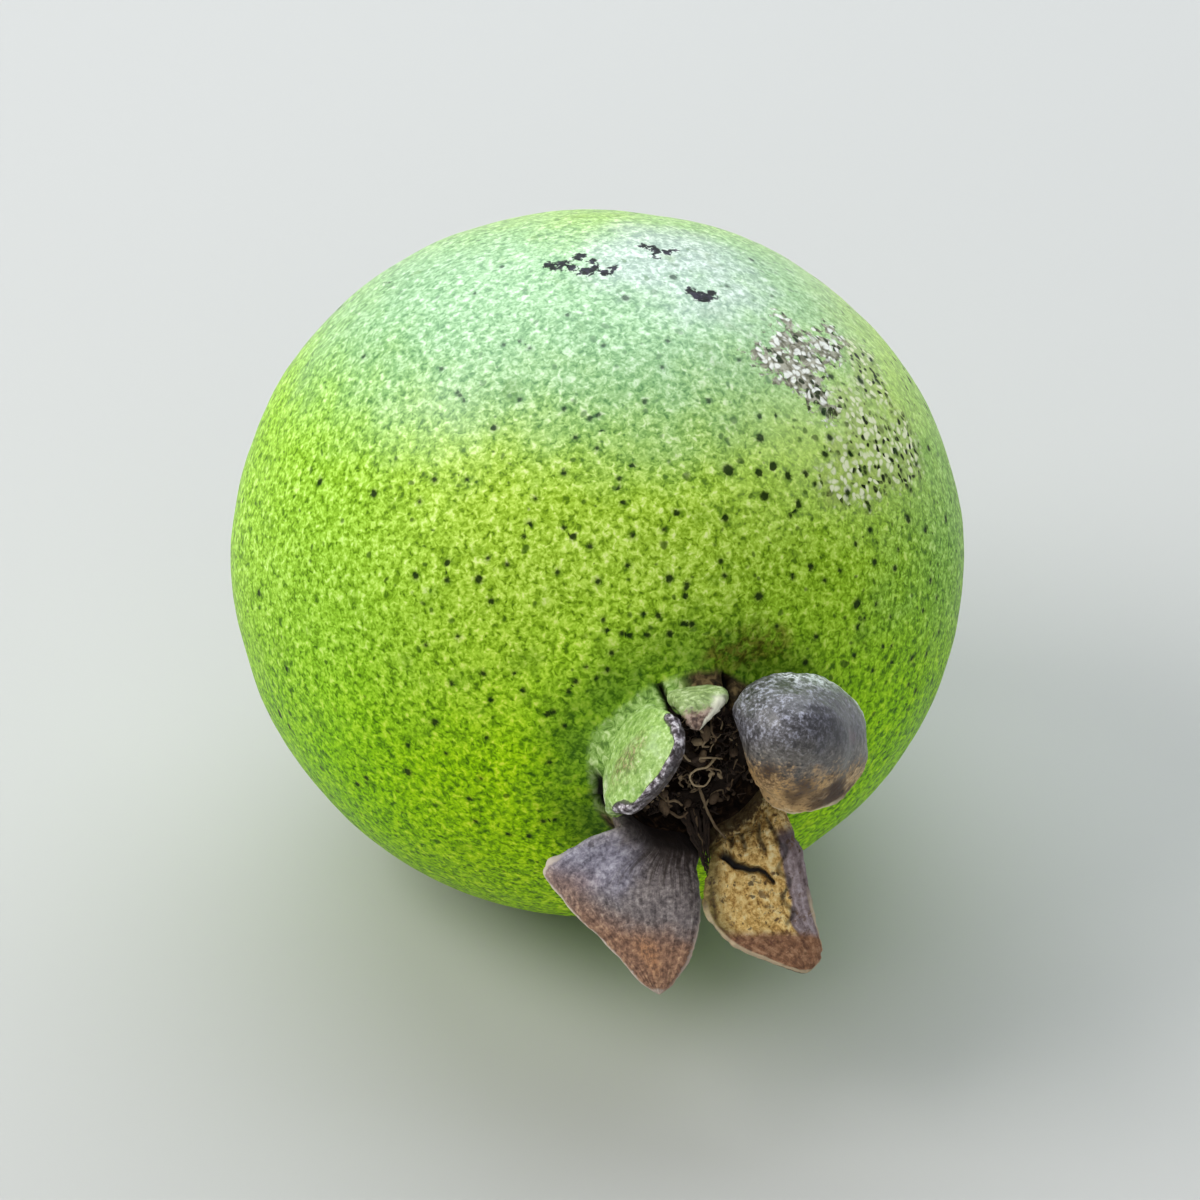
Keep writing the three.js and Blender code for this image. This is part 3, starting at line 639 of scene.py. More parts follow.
    # Here too the dots in the upper zone are paler and bluer, under the painted sheen.
    c = t.mix(t.math("MULTIPLY", ring, 0.30), c, t.mix(bloom_and_sheen_zone, C(60, 104, 14), C(110, 160, 110)))
    c = t.mix(t.math("MULTIPLY", dot, t.mixf(bloom_and_sheen_zone, 0.93, 0.85)), c, t.mix(bloom_and_sheen_zone, C(14, 34, 4), C(30, 62, 42)))
    blotch = t.step(t.math("ADD", t.attr("blotch"), t.math("MULTIPLY", edge, 1.3)), 0.32, 0.10)
    c = t.mix(t.math("MULTIPLY", blotch, 0.97), c, t.mix(t.step(fleck, 0.4, 0.62), C(10, 6, 18), C(44, 36, 58)))
    # Stalk end: a little corky brown.
    pit = t.attr("pit")
    c = t.mix(t.math("MULTIPLY", pit, t.step(rust, 0.42, 0.62, 0.15, 0.9)), c, C(112, 104, 52))
    # Inside of the cup: dark dried tissue, darkened further as painted shade in the hollow.
    cup = t.attr("cup")
    inner = t.ramp(rust, [(0.35, C(18, 13, 10)), (0.55, C(44, 33, 25)), (0.75, C(88, 68, 50))])
    c = t.mix(cup, c, inner)

    rough = t.math("MULTIPLY_ADD", grain, 0.14, 0.36)
    rough = t.mixf(patch, rough, 0.8)
    rough = t.mixf(collar, rough, 0.6)
    rough = t.mixf(cup, rough, 0.95)
    height = t.math("MULTIPLY_ADD", grain, 0.6, t.math("MULTIPLY", worm, 0.45))
    height = t.math("MULTIPLY_ADD", t.step(t.math("SUBTRACT", reach, t.attr("dot_r")), 0.16, -0.12), -0.35, height)
    height = t.math("MULTIPLY_ADD", t.math("MULTIPLY", t.step(t.attr("scurf"), 0.80, 0.05), worm), 1.5, height)
    height = t.math("MULTIPLY_ADD", t.step(t.attr("blotch"), 0.32, 0.10), 0.5, height)
    n = t.bump(height, 0.07, 0.9)
    t.set(t.bsdf.inputs["Coat Weight"], t.math("MULTIPLY", t.mixf(bloom_and_sheen_zone, 0.0, 0.68), t.math("SUBTRACT", 1.0, t.math("MAXIMUM", t.math("MAXIMUM", patch, cup), t.math("MAXIMUM", blotch, dot)))))
    t.set(t.bsdf.inputs["Specular IOR Level"], t.math("MULTIPLY", t.mixf(bloom_and_sheen_zone, 0.07, 0.5), t.math("SUBTRACT", 1.0, t.math("MULTIPLY", blotch, 0.8))))
    return t.finish(c, rough, n, Coat_Roughness=0.40, Coat_IOR=1.5)


P, faces, attrs = build_fruit()
fruit = make_piece("guava_fruit", P, faces, skin_material(), "fruit", attrs)

# ---- sepals ----
def on_rim(deg, out, radius=RIM_RADIUS):
    k = math.radians(deg)
    return [radius * math.cos(k), radius * math.sin(k), out]


def root(l, m, r, spread=3.0):
    return [
        [on_rim(l - spread if l > r else l, -2.0), on_rim(m, -2.0), on_rim(r, -2.0), 0.9],
        [on_rim(l, -1.0), on_rim(m, -1.0), on_rim(r, -1.0), 1.55],
        [on_rim(l, 0.1), on_rim(m, 0.1), on_rim(r, 0.1), 1.75],
        [on_rim(l, 1.25), on_rim(m, 1.25), on_rim(r, 1.25), 1.55],
    ]


LOBES = {
    "upright": [
        [on_rim(116, -2.0, 7.2), on_rim(150, -2.0), on_rim(193, -2.0), 0.9],
        [on_rim(114, -1.0, 7.6), on_rim(150, -1.0, 7.1), on_rim(193, -1.0), 1.45],
        [on_rim(113, 0.1, 7.9), on_rim(150, 0.1, 7.2), on_rim(193, 0.1, 7.1), 1.60],
        [[-3.15, 8.05, 1.25], on_rim(150, 1.25, 7.3), on_rim(193, 1.25, 7.2), 1.55],
        [[-3.00, 8.70, 2.40], [-5.95, 5.35, 2.60], [-7.60, 0.30, 2.30], 1.50],
        [[-2.75, 9.05, 3.50], [-5.75, 6.25, 4.10], [-7.95, 1.15, 3.70], 1.40],
        [[-2.70, 9.15, 4.80], [-5.35, 6.40, 5.70], [-7.85, 1.75, 5.10], 1.30],
        [[-2.85, 8.85, 6.00], [-4.95, 6.25, 7.10], [-7.45, 2.30, 6.30], 1.15],
        [[-3.45, 8.10, 7.00], [-4.75, 6.35, 7.80], [-6.75, 3.40, 7.10], 1.00]],
    "stub": [
        [on_rim(76, -2.0, 7.2), on_rim(91, -2.0, 7.2), on_rim(106, -2.0, 7.2), 0.9],
        [on_rim(75, -1.0, 7.6), on_rim(91, -1.0, 7.5), on_rim(107, -1.0, 7.6), 1.45],
        [on_rim(73, 0.1, 8.0), on_rim(89, 0.1, 7.95), on_rim(105, 0.1, 8.0), 1.60],
        [[2.15, 8.15, 1.00], [0.00, 8.35, 1.15], [-2.00, 8.05, 1.10], 1.50],
        [[1.55, 8.15, 1.85], [-0.25, 8.25, 2.10], [-1.85, 7.90, 2.00], 1.35],
        [[0.35, 7.80, 2.75], [-0.65, 7.75, 2.90], [-1.60, 7.55, 2.80], 1.15],
        [[-0.55, 7.45, 3.45], [-0.85, 7.42, 3.55], [-1.20, 7.36, 3.45], 0.75]],
    "domed": root(62, 26, -12) + [
        [[2.78, 8.33, 2.10], [3.35, 5.28, 3.42], [4.97, 0.05, 2.86], 1.60],
        [[4.29, 9.38, 1.35], [3.14, 7.32, 6.09], [4.99, -0.29, 4.06], 1.60],
        [[6.70, 9.35, 0.50], [4.77, 8.51, 7.67], [6.17, -1.12, 4.73], 1.60],
        [[9.28, 8.31, -0.20], [7.10, 8.39, 7.86], [8.54, -1.84, 4.36], 1.50],
        [[11.78, 6.25, -1.04], [9.77, 6.83, 6.40], [11.11, -1.99, 2.85], 1.40],
        [[13.67, 3.42, -1.76], [12.43, 3.88, 3.17], [13.15, -1.56, 0.78], 1.20],
        [[14.65, 0.57, -2.44], [14.18, 0.74, -0.40], [14.30, -1.34, -1.12], 0.90]],
    "split": root(-84, -52, -20) + [
        [[0.50, -5.95, 3.05], [3.93, -4.91, 3.17], [6.69, -3.04, 3.26], 1.50],
        [[-0.41, -6.20, 4.62], [3.39, -5.90, 4.75], [7.20, -4.33, 5.09], 1.40],
        [[-1.07, -7.27, 5.85], [3.27, -7.51, 5.91], [7.38, -6.49, 6.48], 1.40],
        [[-0.97, -8.89, 7.35], [3.64, -9.21, 7.26], [7.58, -8.91, 7.81], 1.30],
        [[0.70, -10.54, 9.01], [4.65, -10.69, 8.88], [7.90, -11.00, 8.93], 1.20],
        [[3.38, -11.58, 10.47], [5.72, -11.81, 10.49], [7.74, -12.15, 10.00], 1.10],
        [[5.17, -12.19, 11.40], [6.04, -12.41, 11.53], [6.96, -12.50, 11.07], 0.80]],
    "pointed": root(203, 234, 269) + [
        [[-8.85, -3.60, 0.95], [-4.90, -5.97, 2.20], [-0.62, -7.25, 2.44], 1.35],
        [[-11.35, -5.45, 0.00], [-5.70, -6.60, 3.05], [-0.77, -7.85, 3.71], 1.35],
        [[-12.61, -7.55, -0.74], [-6.10, -7.82, 3.83], [-1.05, -8.95, 5.21], 1.30],
        [[-11.56, -9.23, 1.03], [-6.04, -9.57, 4.75], [-1.60, -10.45, 6.30], 1.30],
        [[-9.64, -11.02, 3.36], [-5.78, -11.30, 5.85], [-2.32, -12.13, 7.11], 1.20],
        [[-7.68, -12.85, 5.74], [-5.52, -12.95, 7.14], [-3.43, -13.60, 7.91], 1.10],
        [[-6.04, -14.48, 8.01], [-5.39, -14.55, 8.61], [-4.67, -14.47, 8.48], 0.80]],
}


def build_lobe(rows, seed, across=56, along=110, ragged=0.18, grit=0.05, crease=0.10, warp=0.16, thick=1.0, rim=0.0,
               blunt=0.965, shape=None, turn=1):
    """A bent blade. Returns vertices, faces and the attributes along (0 root, 1 tip), across (-1 left, 1 right),
    face (1 on the seen side, -1 behind) and margin (mm from the free edge)."""
    A = np.array([np.concatenate([a, b, c, [d]]) for a, b, c, d in rows], float)
    u = np.linspace(0, 1, along)
    u = u + 0.012 * np.sin(2 * np.pi * u) / (2 * np.pi)
    S = catmull(A, u)
    T = S[:, 9] * thick
    # The tip closes in a round end instead of a cut.
    close = np.sqrt(np.clip(1 - np.clip((u - blunt) / (1.0001 - blunt), 0, 1) ** 2, 0.0, 1))
    close = np.maximum(close, 0.12)
    k = np.linspace(0, np.pi, across)
    s_face = -np.cos(k) * 0.5 + (np.linspace(-1, 1, across)) * 0.5
    s_face[0], s_face[-1] = -1, 1
    s = np.concatenate([s_face, s_face[-2:0:-1]])
    f = (1 - np.abs(s) ** 7) ** (1 / 2.4)
    n_off = np.concatenate([f[:across], -f[across:]])
    loop = len(s)

    def at(S_, ss):
        l, m, r = S_[:, 0:3][:, None], S_[:, 3:6][:, None], S_[:, 6:9][:, None]
        q = ss[..., None]
        return m * (1 - q * q) + l * 0.5 * (q * q - q) + r * 0.5 * (q * q + q)

    ss = np.tile(s, (along, 1))
    grow = smooth(u, 0.30, 0.5)[:, None]
    line = np.stack([u * 22, 0 * u + seed, 0 * u], 1)
    left = (field(line, 1.5, seed + 0.3, 2) + 0.5 * field(line, 0.5, seed + 0.4, 1))[:, None]
    right = (field(line, 1.5, seed + 0.7, 2) + 0.5 * field(line, 0.5, seed + 0.8, 1))[:, None]
    width = np.maximum(np.linalg.norm(S[:, 6:9] - S[:, 0:3], axis=1), 1.0)[:, None]
    edge = np.abs(ss) ** 3
    ss = ss + np.where(ss < 0, -left, right) * edge * grow * ragged * 2 / width
    ss_draw = ss * close[:, None]
    base = at(S, ss_draw)
    e = 1e-3
    S1, S0 = catmull(A, np.clip(u + e, 0, 1)), catmull(A, np.clip(u - e, 0, 1))
    du = at(S1, ss_draw) - at(S0, ss_draw)
    ds = at(S, ss_draw + e) - at(S, ss_draw - e)
    nrm = unit(np.cross(ds, du))
    length = np.linalg.norm(np.diff(S[:, 3:6], axis=0), axis=1).sum()
    margin = np.minimum((1 - np.abs(ss)) * width / 2, (1 - u)[:, None] * length)
    margin = np.maximum(margin, 0) + 3.0 * (1 - smooth(u, 0.28, 0.36))[:, None]
    swollen = 1 + rim * (1 - smooth(margin, 0.5, 1.3))
    half = 0.5 * T[:, None] * close[:, None] * n_off[None, :] * swollen
    pos = base + nrm * half[..., None]
    flat = base.reshape(-1, 3)
    nf = nrm.reshape(-1, 3)
    sf, uf = ss.reshape(-1), np.repeat(u, loop)
    nn = np.tile(n_off, along)
    body = smooth(uf, 0.12, 0.3) * np.minimum(np.repeat(close, loop) * 1.5, 1)
    # Shallow lengthwise creases and a granular surface, different on the two faces.
    side = np.sign(nn)
    streak = np.stack([sf * 3.2, uf * 2.6 + 0 * sf, 0 * uf + seed + 0.5 * side], 1)
    folds = 1 - np.abs(field(streak, 1.0, seed + 5, 2))
    relief = -crease * np.clip(folds - 0.55, 0, 1) ** 2 * 4
    relief = relief + grit * field(flat + side[:, None] * 3, 0.55, seed + 1, 2) + 0.09 * field(flat, 2.6, seed + 2)
    if shape is not None:
        relief = relief + shape(sf, uf, nn * turn)
    pos = pos.reshape(-1, 3) + nf * (side * relief * body * np.minimum(np.abs(nn) * 2, 1))[:, None]
    pos = pos + nf * (warp * field(flat, 3.0, seed + 3) * body)[:, None]
    ends = np.stack([S[0, 3:6], S[-1, 3:6] + 0.03 * unit(S[-1, 3:6] - S[-3, 3:6])])
    V = np.vstack([pos, ends])
    n = along * loop
    faces = grid_faces(along, loop)
    faces += [(n, (j + 1) % loop, j) for j in range(loop)]
    b = (along - 1) * loop
    faces += [(n + 1, b + j, b + (j + 1) % loop) for j in range(loop)]
    W = np.stack([V[:, 0], -(RIM_HEIGHT + V[:, 2]), V[:, 1] + CENTRE_HEIGHT], 1)
    attrs = {
        "along": np.concatenate([uf, [0, 1]]),
        "across": np.concatenate([sf, [0, 0]]),
        "face": np.concatenate([nn * turn, [0, 0]]),
        "margin": np.concatenate([margin.reshape(-1), [3, 0]]),
    }
    return W, facing_out(W, faces), attrs


def streaks(t, across, along, fine=7.0, stretch=1.4, seed=1.0, distort=0.6):
    """Fine lengthwise streaks that follow the blade."""
    v = t.combine(t.math("MULTIPLY", across, fine), t.math("MULTIPLY", along, stretch), seed * 3.1)
    return t.noise(1.0, 4, 0.62, distort, vec=v)


def stroke(sf, uf, points, wide=4.2, long=16.0):
    """Distance in mm, or so, from a line drawn on a blade through (across, along) points."""
    p = np.stack([sf * wide, uf * long], 1)
    q = np.array(points) * np.array([wide, long])
    best = np.full(len(p), 9.0)
    for i in range(len(q) - 1):
        d = q[i + 1] - q[i]
        k = np.clip(((p - q[i]) @ d) / (d @ d), 0, 1)
        best = np.minimum(best, np.linalg.norm(p - (q[i] + k[:, None] * d), axis=1))
    return best


def soft_disc(t, across, along, s0, u0, radius, soft, wide=4.2, long=16.0, wander=None):
    """1 inside a round patch centred at (across, along), radius in mm."""
    dx = t.math("MULTIPLY", t.math("SUBTRACT", across, s0), wide)
    dy = t.math("MULTIPLY", t.math("SUBTRACT", along, u0), long)
    d = t.math("SQRT", t.math("MULTIPLY_ADD", dx, dx, t.math("MULTIPLY", dy, dy)))
    if wander is not None:
        d = t.math("ADD", d, wander)
    return t.step(d, radius + soft, radius - soft)


def peppered(t, scale, low, high, share, seed, warp=0.4):
    """Small irregular spots, 1 inside."""
    j = t.vec("ADD", t.mm, t.vec("SCALE", t.combine(t.noise(2.0, 2, 0.5, 0, seed=seed + 1), t.noise(2.0, 2, 0.5, 0, seed=seed + 2), t.noise(2.0, 2, 0.5, 0, seed=seed + 3)), scale=warp))
    v = t.voronoi(scale, vec=j, seed=seed)
    pick = t.xyz(v["Color"])
    r = t.math("MULTIPLY_ADD", pick[1], high - low, low)
    return t.math("MULTIPLY", t.step(t.math("SUBTRACT", r, v["Distance"]), -0.06, 0.08), t.math("GREATER_THAN", pick[0], share))


def sepal_upright():
    t = Tree("sepal_upright_finish")
    al, ac, fc, mg = t.attr("along"), t.attr("across"), t.attr("face"), t.attr("margin")
    grain = t.noise(1.7, 3, 0.66, 0.3, seed=21)
    fine = t.noise(3.4, 2, 0.6, 0.2, seed=26)
    mid = t.noise(0.55, 3, 0.6, 0.3, seed=22)
    both = t.math("MULTIPLY_ADD", grain, 0.65, t.math("MULTIPLY", fine, 0.35))
    outer = t.ramp(both, [(0.36, C(104, 140, 62)), (0.45, C(142, 180, 86)), (0.52, C(164, 198, 108)), (0.59, C(192, 220, 146)), (0.68, C(228, 240, 200))])
    outer = t.mix(t.step(mid, 0.52, 0.70, 0, 0.45), outer, C(190, 216, 158))
    outer = t.mix(t.step(mid, 0.46, 0.32, 0, 0.40), outer, C(112, 150, 60))
    w = t.math("MULTIPLY", t.math("SUBTRACT", mid, 0.5), 2.0)
    worn = soft_disc(t, ac, al, 0.15, 0.56, 1.9, 1.3, wander=w)
    outer = t.mix(t.math("MULTIPLY", worn, t.step(grain, 0.56, 0.44, 0.25, 0.85)), outer, C(112, 116, 70))
    outer = t.mix(t.math("MULTIPLY", worn, t.step(fine, 0.54, 0.62, 0.0, 0.6)), outer, C(196, 168, 134))
    corner = soft_disc(t, ac, al, 0.72, 0.30, 1.3, 0.9, wander=w)
    outer = t.mix(t.math("MULTIPLY", corner, t.step(grain, 0.42, 0.54, 0.35, 0.9)), outer, C(232, 238, 206))
    inner = t.ramp(t.noise(1.4, 4, 0.65, 0.3, seed=23), [(0.36, C(16, 11, 9)), (0.5, C(46, 36, 29)), (0.66, C(92, 78, 62))])
    is_out = t.step(fc, -0.45, -0.05)
    c = t.mix(is_out, inner, outer)
    # Rolled dry margin: grey-lilac ridge between dark lines of painted shade under and beside the roll.
    m = t.math("MULTIPLY_ADD", t.math("SUBTRACT", t.noise(0.9, 3, 0.6, 0.2, seed=24), 0.5), 1.1, mg)
    bare = t.math("MAXIMUM", t.math("MULTIPLY", t.step(ac, 0.0, -0.3), t.step(al, 0.66, 0.54)), t.math("MULTIPLY", t.step(ac, 0.0, 0.3), t.step(al, 0.80, 0.68)))
    m = t.math("MULTIPLY_ADD", bare, 1.2, m)
    roll = t.step(m, 1.15, 0.85)
    ridge = t.ramp(t.noise(2.0, 3, 0.62, 0.3, seed=25), [(0.38, C(58, 48, 52)), (0.5, C(142, 132, 140)), (0.62, C(236, 230, 236))])
    painted_shade_lines = t.math("MAXIMUM", t.math("MULTIPLY", t.step(m, 0.86, 0.94), t.step(m, 1.22, 1.10)), t.step(m, 0.20, 0.02))
    c = t.mix(roll, c, ridge)
    c = t.mix(t.math("MULTIPLY", painted_shade_lines, 0.8), c, C(40, 32, 30))
    c = t.mix(t.math("MULTIPLY", t.step(fc, -0.2, -0.6), 0.8), c, inner)
    rough = t.mixf(roll, t.mixf(is_out, 0.9, 0.52), 0.7)
    return t.finish(c, rough, t.bump(both, 0.06, 0.8))


def sepal_stub():
    t = Tree("sepal_stub_finish")
    al, ac, fc, mg = t.attr("along"), t.attr("across"), t.attr("face"), t.attr("margin")
    grain = t.noise(1.9, 3, 0.66, 0.3, seed=31)
    green = t.ramp(grain, [(0.34, C(112, 134, 74)), (0.5, C(154, 178, 110)), (0.66, C(208, 222, 172))])
    tip = t.ramp(t.noise(1.8, 3, 0.62, 0.3, seed=32), [(0.36, C(70, 50, 44)), (0.5, C(132, 106, 92)), (0.64, C(190, 168, 152))])
    c = t.mix(t.step(t.math("MULTIPLY_ADD", t.math("SUBTRACT", grain, 0.5), 0.4, al), 0.64, 0.76), green, tip)
    # Painted highlight: near-white along one side towards the tip.
    right = t.math("MULTIPLY", t.step(t.math("MULTIPLY_ADD", t.math("SUBTRACT", grain, 0.5), 0.6, ac), -0.30, -0.62), t.step(al, 0.52, 0.62))
    c = t.mix(t.math("MULTIPLY", right, 0.9), c, C(238, 236, 214))
    inner = t.ramp(grain, [(0.36, C(18, 12, 10)), (0.62, C(80, 62, 50))])
    c = t.mix(t.step(fc, -0.2, -0.6), c, inner)
    return t.finish(c, 0.6, t.bump(grain, 0.07, 0.8))


def sepal_domed():
    t = Tree("sepal_domed_finish")
    al, ac, fc, mg = t.attr("along"), t.attr("across"), t.attr("face"), t.attr("margin")
    grain = t.noise(1.8, 4, 0.70, 0.2, seed=41)
    fine = t.noise(4.2, 3, 0.65, 0.1, seed=47)
    blot = t.noise(0.42, 3, 0.6, 0.3, seed=42)
    both = t.math("MULTIPLY_ADD", grain, 0.6, t.math("MULTIPLY", fine, 0.4))
    w = t.math("MULTIPLY", t.math("SUBTRACT", blot, 0.5), 2.6)
    grey = t.ramp(both, [(0.36, C(28, 27, 30)), (0.45, C(70, 68, 73)), (0.52, C(100, 98, 104)), (0.60, C(138, 136, 144)), (0.70, C(196, 196, 206))])
    brown = t.ramp(both, [(0.36, C(60, 42, 26)), (0.45, C(108, 82, 52)), (0.52, C(150, 118, 78)), (0.60, C(198, 164, 114)), (0.70, C(236, 210, 164))])
    cream = t.ramp(both, [(0.36, C(112, 80, 48)), (0.50, C(198, 164, 116)), (0.64, C(246, 226, 184))])
    warm = t.ramp(both, [(0.36, C(44, 39, 36)), (0.5, C(98, 92, 86)), (0.66, C(150, 144, 138))])
    c = t.mix(t.step(t.math("MULTIPLY_ADD", w, 0.12, ac), -0.20, 0.25), grey, warm)
    low = t.step(t.math("MULTIPLY_ADD", t.math("SUBTRACT", both, 0.5), 1.2, t.math("MULTIPLY_ADD", w, 0.26, t.math("MULTIPLY_ADD", al, -0.60, ac))), -0.08, 0.28)
    c = t.mix(low, c, t.mix(t.step(t.math("MULTIPLY_ADD", w, 0.06, ac), 0.52, 0.80), brown, cream))
    # Painted sheen: pale bluish sky reflection on top, with painted white glints; painted shade on the darker side; a
    # red-black spot low on the right.
    painted_top_sheen = soft_disc(t, ac, al, -0.72, 0.64, 3.0, 1.5, wander=w)
    c = t.mix(t.math("MULTIPLY", painted_top_sheen, t.step(both, 0.50, 0.62, 0.0, 0.8)), c, C(176, 178, 198))
    glint = t.math("MULTIPLY", t.step(ac, -0.66, -0.88), t.math("MULTIPLY", t.step(al, 0.56, 0.62), t.step(al, 0.80, 0.74)))
    c = t.mix(t.math("MULTIPLY", glint, t.step(both, 0.46, 0.54, 0.1, 0.95)), c, C(244, 248, 255))
    side = soft_disc(t, ac, al, -0.12, 0.80, 1.7, 0.9, wander=w)
    c = t.mix(t.math("MULTIPLY", side, 0.88), c, t.mix(t.step(both, 0.45, 0.62), C(30, 29, 38), C(82, 80, 94)))
    c = t.mix(t.math("MULTIPLY", soft_disc(t, ac, al, 0.02, 0.855, 0.40, 0.5, wander=w), 0.4), c, C(110, 76, 90))
    # Painted highlight: a white rim along the upper margin.
    shine = t.math("MULTIPLY", t.step(mg, 0.85, 0.35), t.math("MULTIPLY", t.step(al, 0.72, 0.78), t.step(ac, -0.3, -0.55)))
    c = t.mix(t.math("MULTIPLY", shine, t.step(both, 0.42, 0.52, 0.15, 0.9)), c, C(250, 250, 255))
    c = t.mix(t.math("MULTIPLY", soft_disc(t, ac, al, 0.84, 0.77, 0.8, 0.35, wander=w), 0.85), c, C(58, 30, 20))
    for s0, u0, r in ((0.50, 0.47, 0.8), (0.69, 0.60, 0.6), (0.93, 0.53, 0.8), (0.90, 0.66, 0.7), (0.62, 0.71, 0.5)):
        c = t.mix(t.math("MULTIPLY", soft_disc(t, ac, al, s0, u0, r, 0.45, wander=w), t.step(both, 0.42, 0.56, 0.2, 0.8)), c, C(208, 168, 110))
    c = t.mix(t.math("MULTIPLY", peppered(t, 1.5, 0.10, 0.34, 0.40, 45), 0.75), c, C(28, 24, 28))
    c = t.mix(t.math("MULTIPLY", soft_disc(t, ac, al, -0.81, 0.615, 0.5, 0.3, wander=w), 0.8), c, C(26, 24, 30))
    for s0, u0, r in ((0.75, 0.63, 0.42), (0.80, 0.707, 0.48), (0.78, 0.765, 0.5), (0.39, 0.557, 0.5), (0.59, 0.67, 0.36)):
        c = t.mix(t.math("MULTIPLY", soft_disc(t, ac, al, s0, u0, r, 0.3, wander=t.math("MULTIPLY", w, 0.4)), 0.78), c, C(58, 34, 20))
    # Thin pale lip along the lower margin.
    lip = t.math("MULTIPLY", t.step(mg, 0.42, 0.20), t.math("MULTIPLY", t.step(ac, 0.2, 0.6), t.step(al, 0.84, 0.72)))
    c = t.mix(t.math("MULTIPLY", lip, 0.85), c, C(236, 220, 190))
    inner = t.ramp(grain, [(0.36, C(26, 19, 15)), (0.52, C(70, 56, 46)), (0.68, C(118, 100, 82))])
    c = t.mix(t.step(fc, -0.15, -0.6), c, inner)
    rough = t.mixf(painted_top_sheen, t.mixf(low, 0.50, 0.72), 0.36)
    t.set(t.bsdf.inputs["Coat Weight"], t.math("MULTIPLY", t.math("SUBTRACT", 1.0, low), 0.5))
    return t.finish(c, rough, t.bump(both, 0.10, 0.9), Coat_Roughness=0.35)


def sepal_split():
    t = Tree("sepal_split_finish")
    al, ac, fc, mg = t.attr("along"), t.attr("across"), t.attr("face"), t.attr("margin")
    st = streaks(t, ac, al, 8.0, 5.0, 51, 0.2)
    grain = t.noise(1.9, 4, 0.70, 0.25, seed=52)
    blot = t.noise(0.6, 3, 0.6, 0.3, seed=54)
    w = t.math("MULTIPLY", t.math("SUBTRACT", blot, 0.5), 2.2)
    both = t.math("MULTIPLY_ADD", grain, 0.7, t.math("MULTIPLY", st, 0.3))
    tan = t.ramp(both, [(0.36, C(124, 86, 34)), (0.44, C(192, 150, 76)), (0.51, C(232, 196, 120)), (0.59, C(246, 222, 158)), (0.70, C(254, 244, 206))])
    olive = t.ramp(both, [(0.36, C(52, 42, 14)), (0.5, C(112, 96, 44)), (0.66, C(160, 142, 84))])
    purple = t.ramp(t.math("MULTIPLY_ADD", st, 0.5, t.math("MULTIPLY", grain, 0.5)), [(0.36, C(84, 68, 70)), (0.5, C(138, 122, 124)), (0.66, C(190, 178, 184))])
    purple = t.mix(t.step(al, 0.56, 0.44, 0, 0.75), purple, C(62, 46, 50))
    red = t.ramp(both, [(0.36, C(74, 42, 26)), (0.5, C(134, 92, 62)), (0.66, C(184, 142, 108))])
    c = t.mix(t.step(t.math("MULTIPLY_ADD", w, 0.10, ac), -0.55, -0.95), tan, olive)
    upper = t.step(t.math("MULTIPLY_ADD", w, 0.02, al), 0.50, 0.44)
    c = t.mix(t.math("MULTIPLY", upper, t.step(grain, 0.40, 0.52, 0.5, 0.0)), c, C(130, 94, 44))
    line = t.math("MULTIPLY_ADD", t.step(al, 0.66, 0.76), -0.22, 0.60)
    over = t.math("SUBTRACT", t.math("MULTIPLY_ADD", w, 0.05, ac), line)
    c = t.mix(t.math("MULTIPLY", t.step(over, -0.03, 0.05), t.step(al, 0.40, 0.46)), c, purple)
    tipward = t.step(t.math("MULTIPLY_ADD", w, 0.016, t.math("MULTIPLY_ADD", ac, -0.02, al)), 0.755, 0.80)
    c = t.mix(tipward, c, red)
    c = t.mix(t.math("MULTIPLY", t.math("MULTIPLY", peppered(t, 1.7, 0.10, 0.34, 0.35, 53, 0.7), t.math("SUBTRACT", 1.0, t.math("MULTIPLY", tipward, 0.6))), 0.82), c, C(62, 42, 20))
    blotchy = t.step(t.noise(1.3, 3, 0.62, 0.3, seed=58), 0.57, 0.66)
    c = t.mix(t.math("MULTIPLY", blotchy, 0.75), c, t.mix(tipward, C(92, 62, 28), C(96, 58, 42)))
    c = t.mix(t.math("MULTIPLY", t.step(t.math("MULTIPLY_ADD", t.math("SUBTRACT", grain, 0.5), 0.25, al), 0.30, 0.22), 0.85), c, C(44, 32, 20))
    # Painted shade in the crack under the loose flap, in the furrow and in the small tears.
    c = t.mix(t.attr("painted_shade_lines"), c, C(12, 7, 5))
    lip = t.math("MULTIPLY", t.step(mg, 0.30, 0.12), t.step(al, 0.62, 0.70))
    c = t.mix(t.math("MULTIPLY", lip, 0.65), c, C(212, 194, 160))
    outer = t.ramp(grain, [(0.36, C(52, 42, 34)), (0.5, C(98, 84, 66)), (0.66, C(140, 124, 98))])
    c = t.mix(t.step(fc, -0.15, -0.6), c, outer)
    return t.finish(c, 0.72, t.bump(t.math("MULTIPLY_ADD", st, 0.5, grain), 0.11, 0.9))


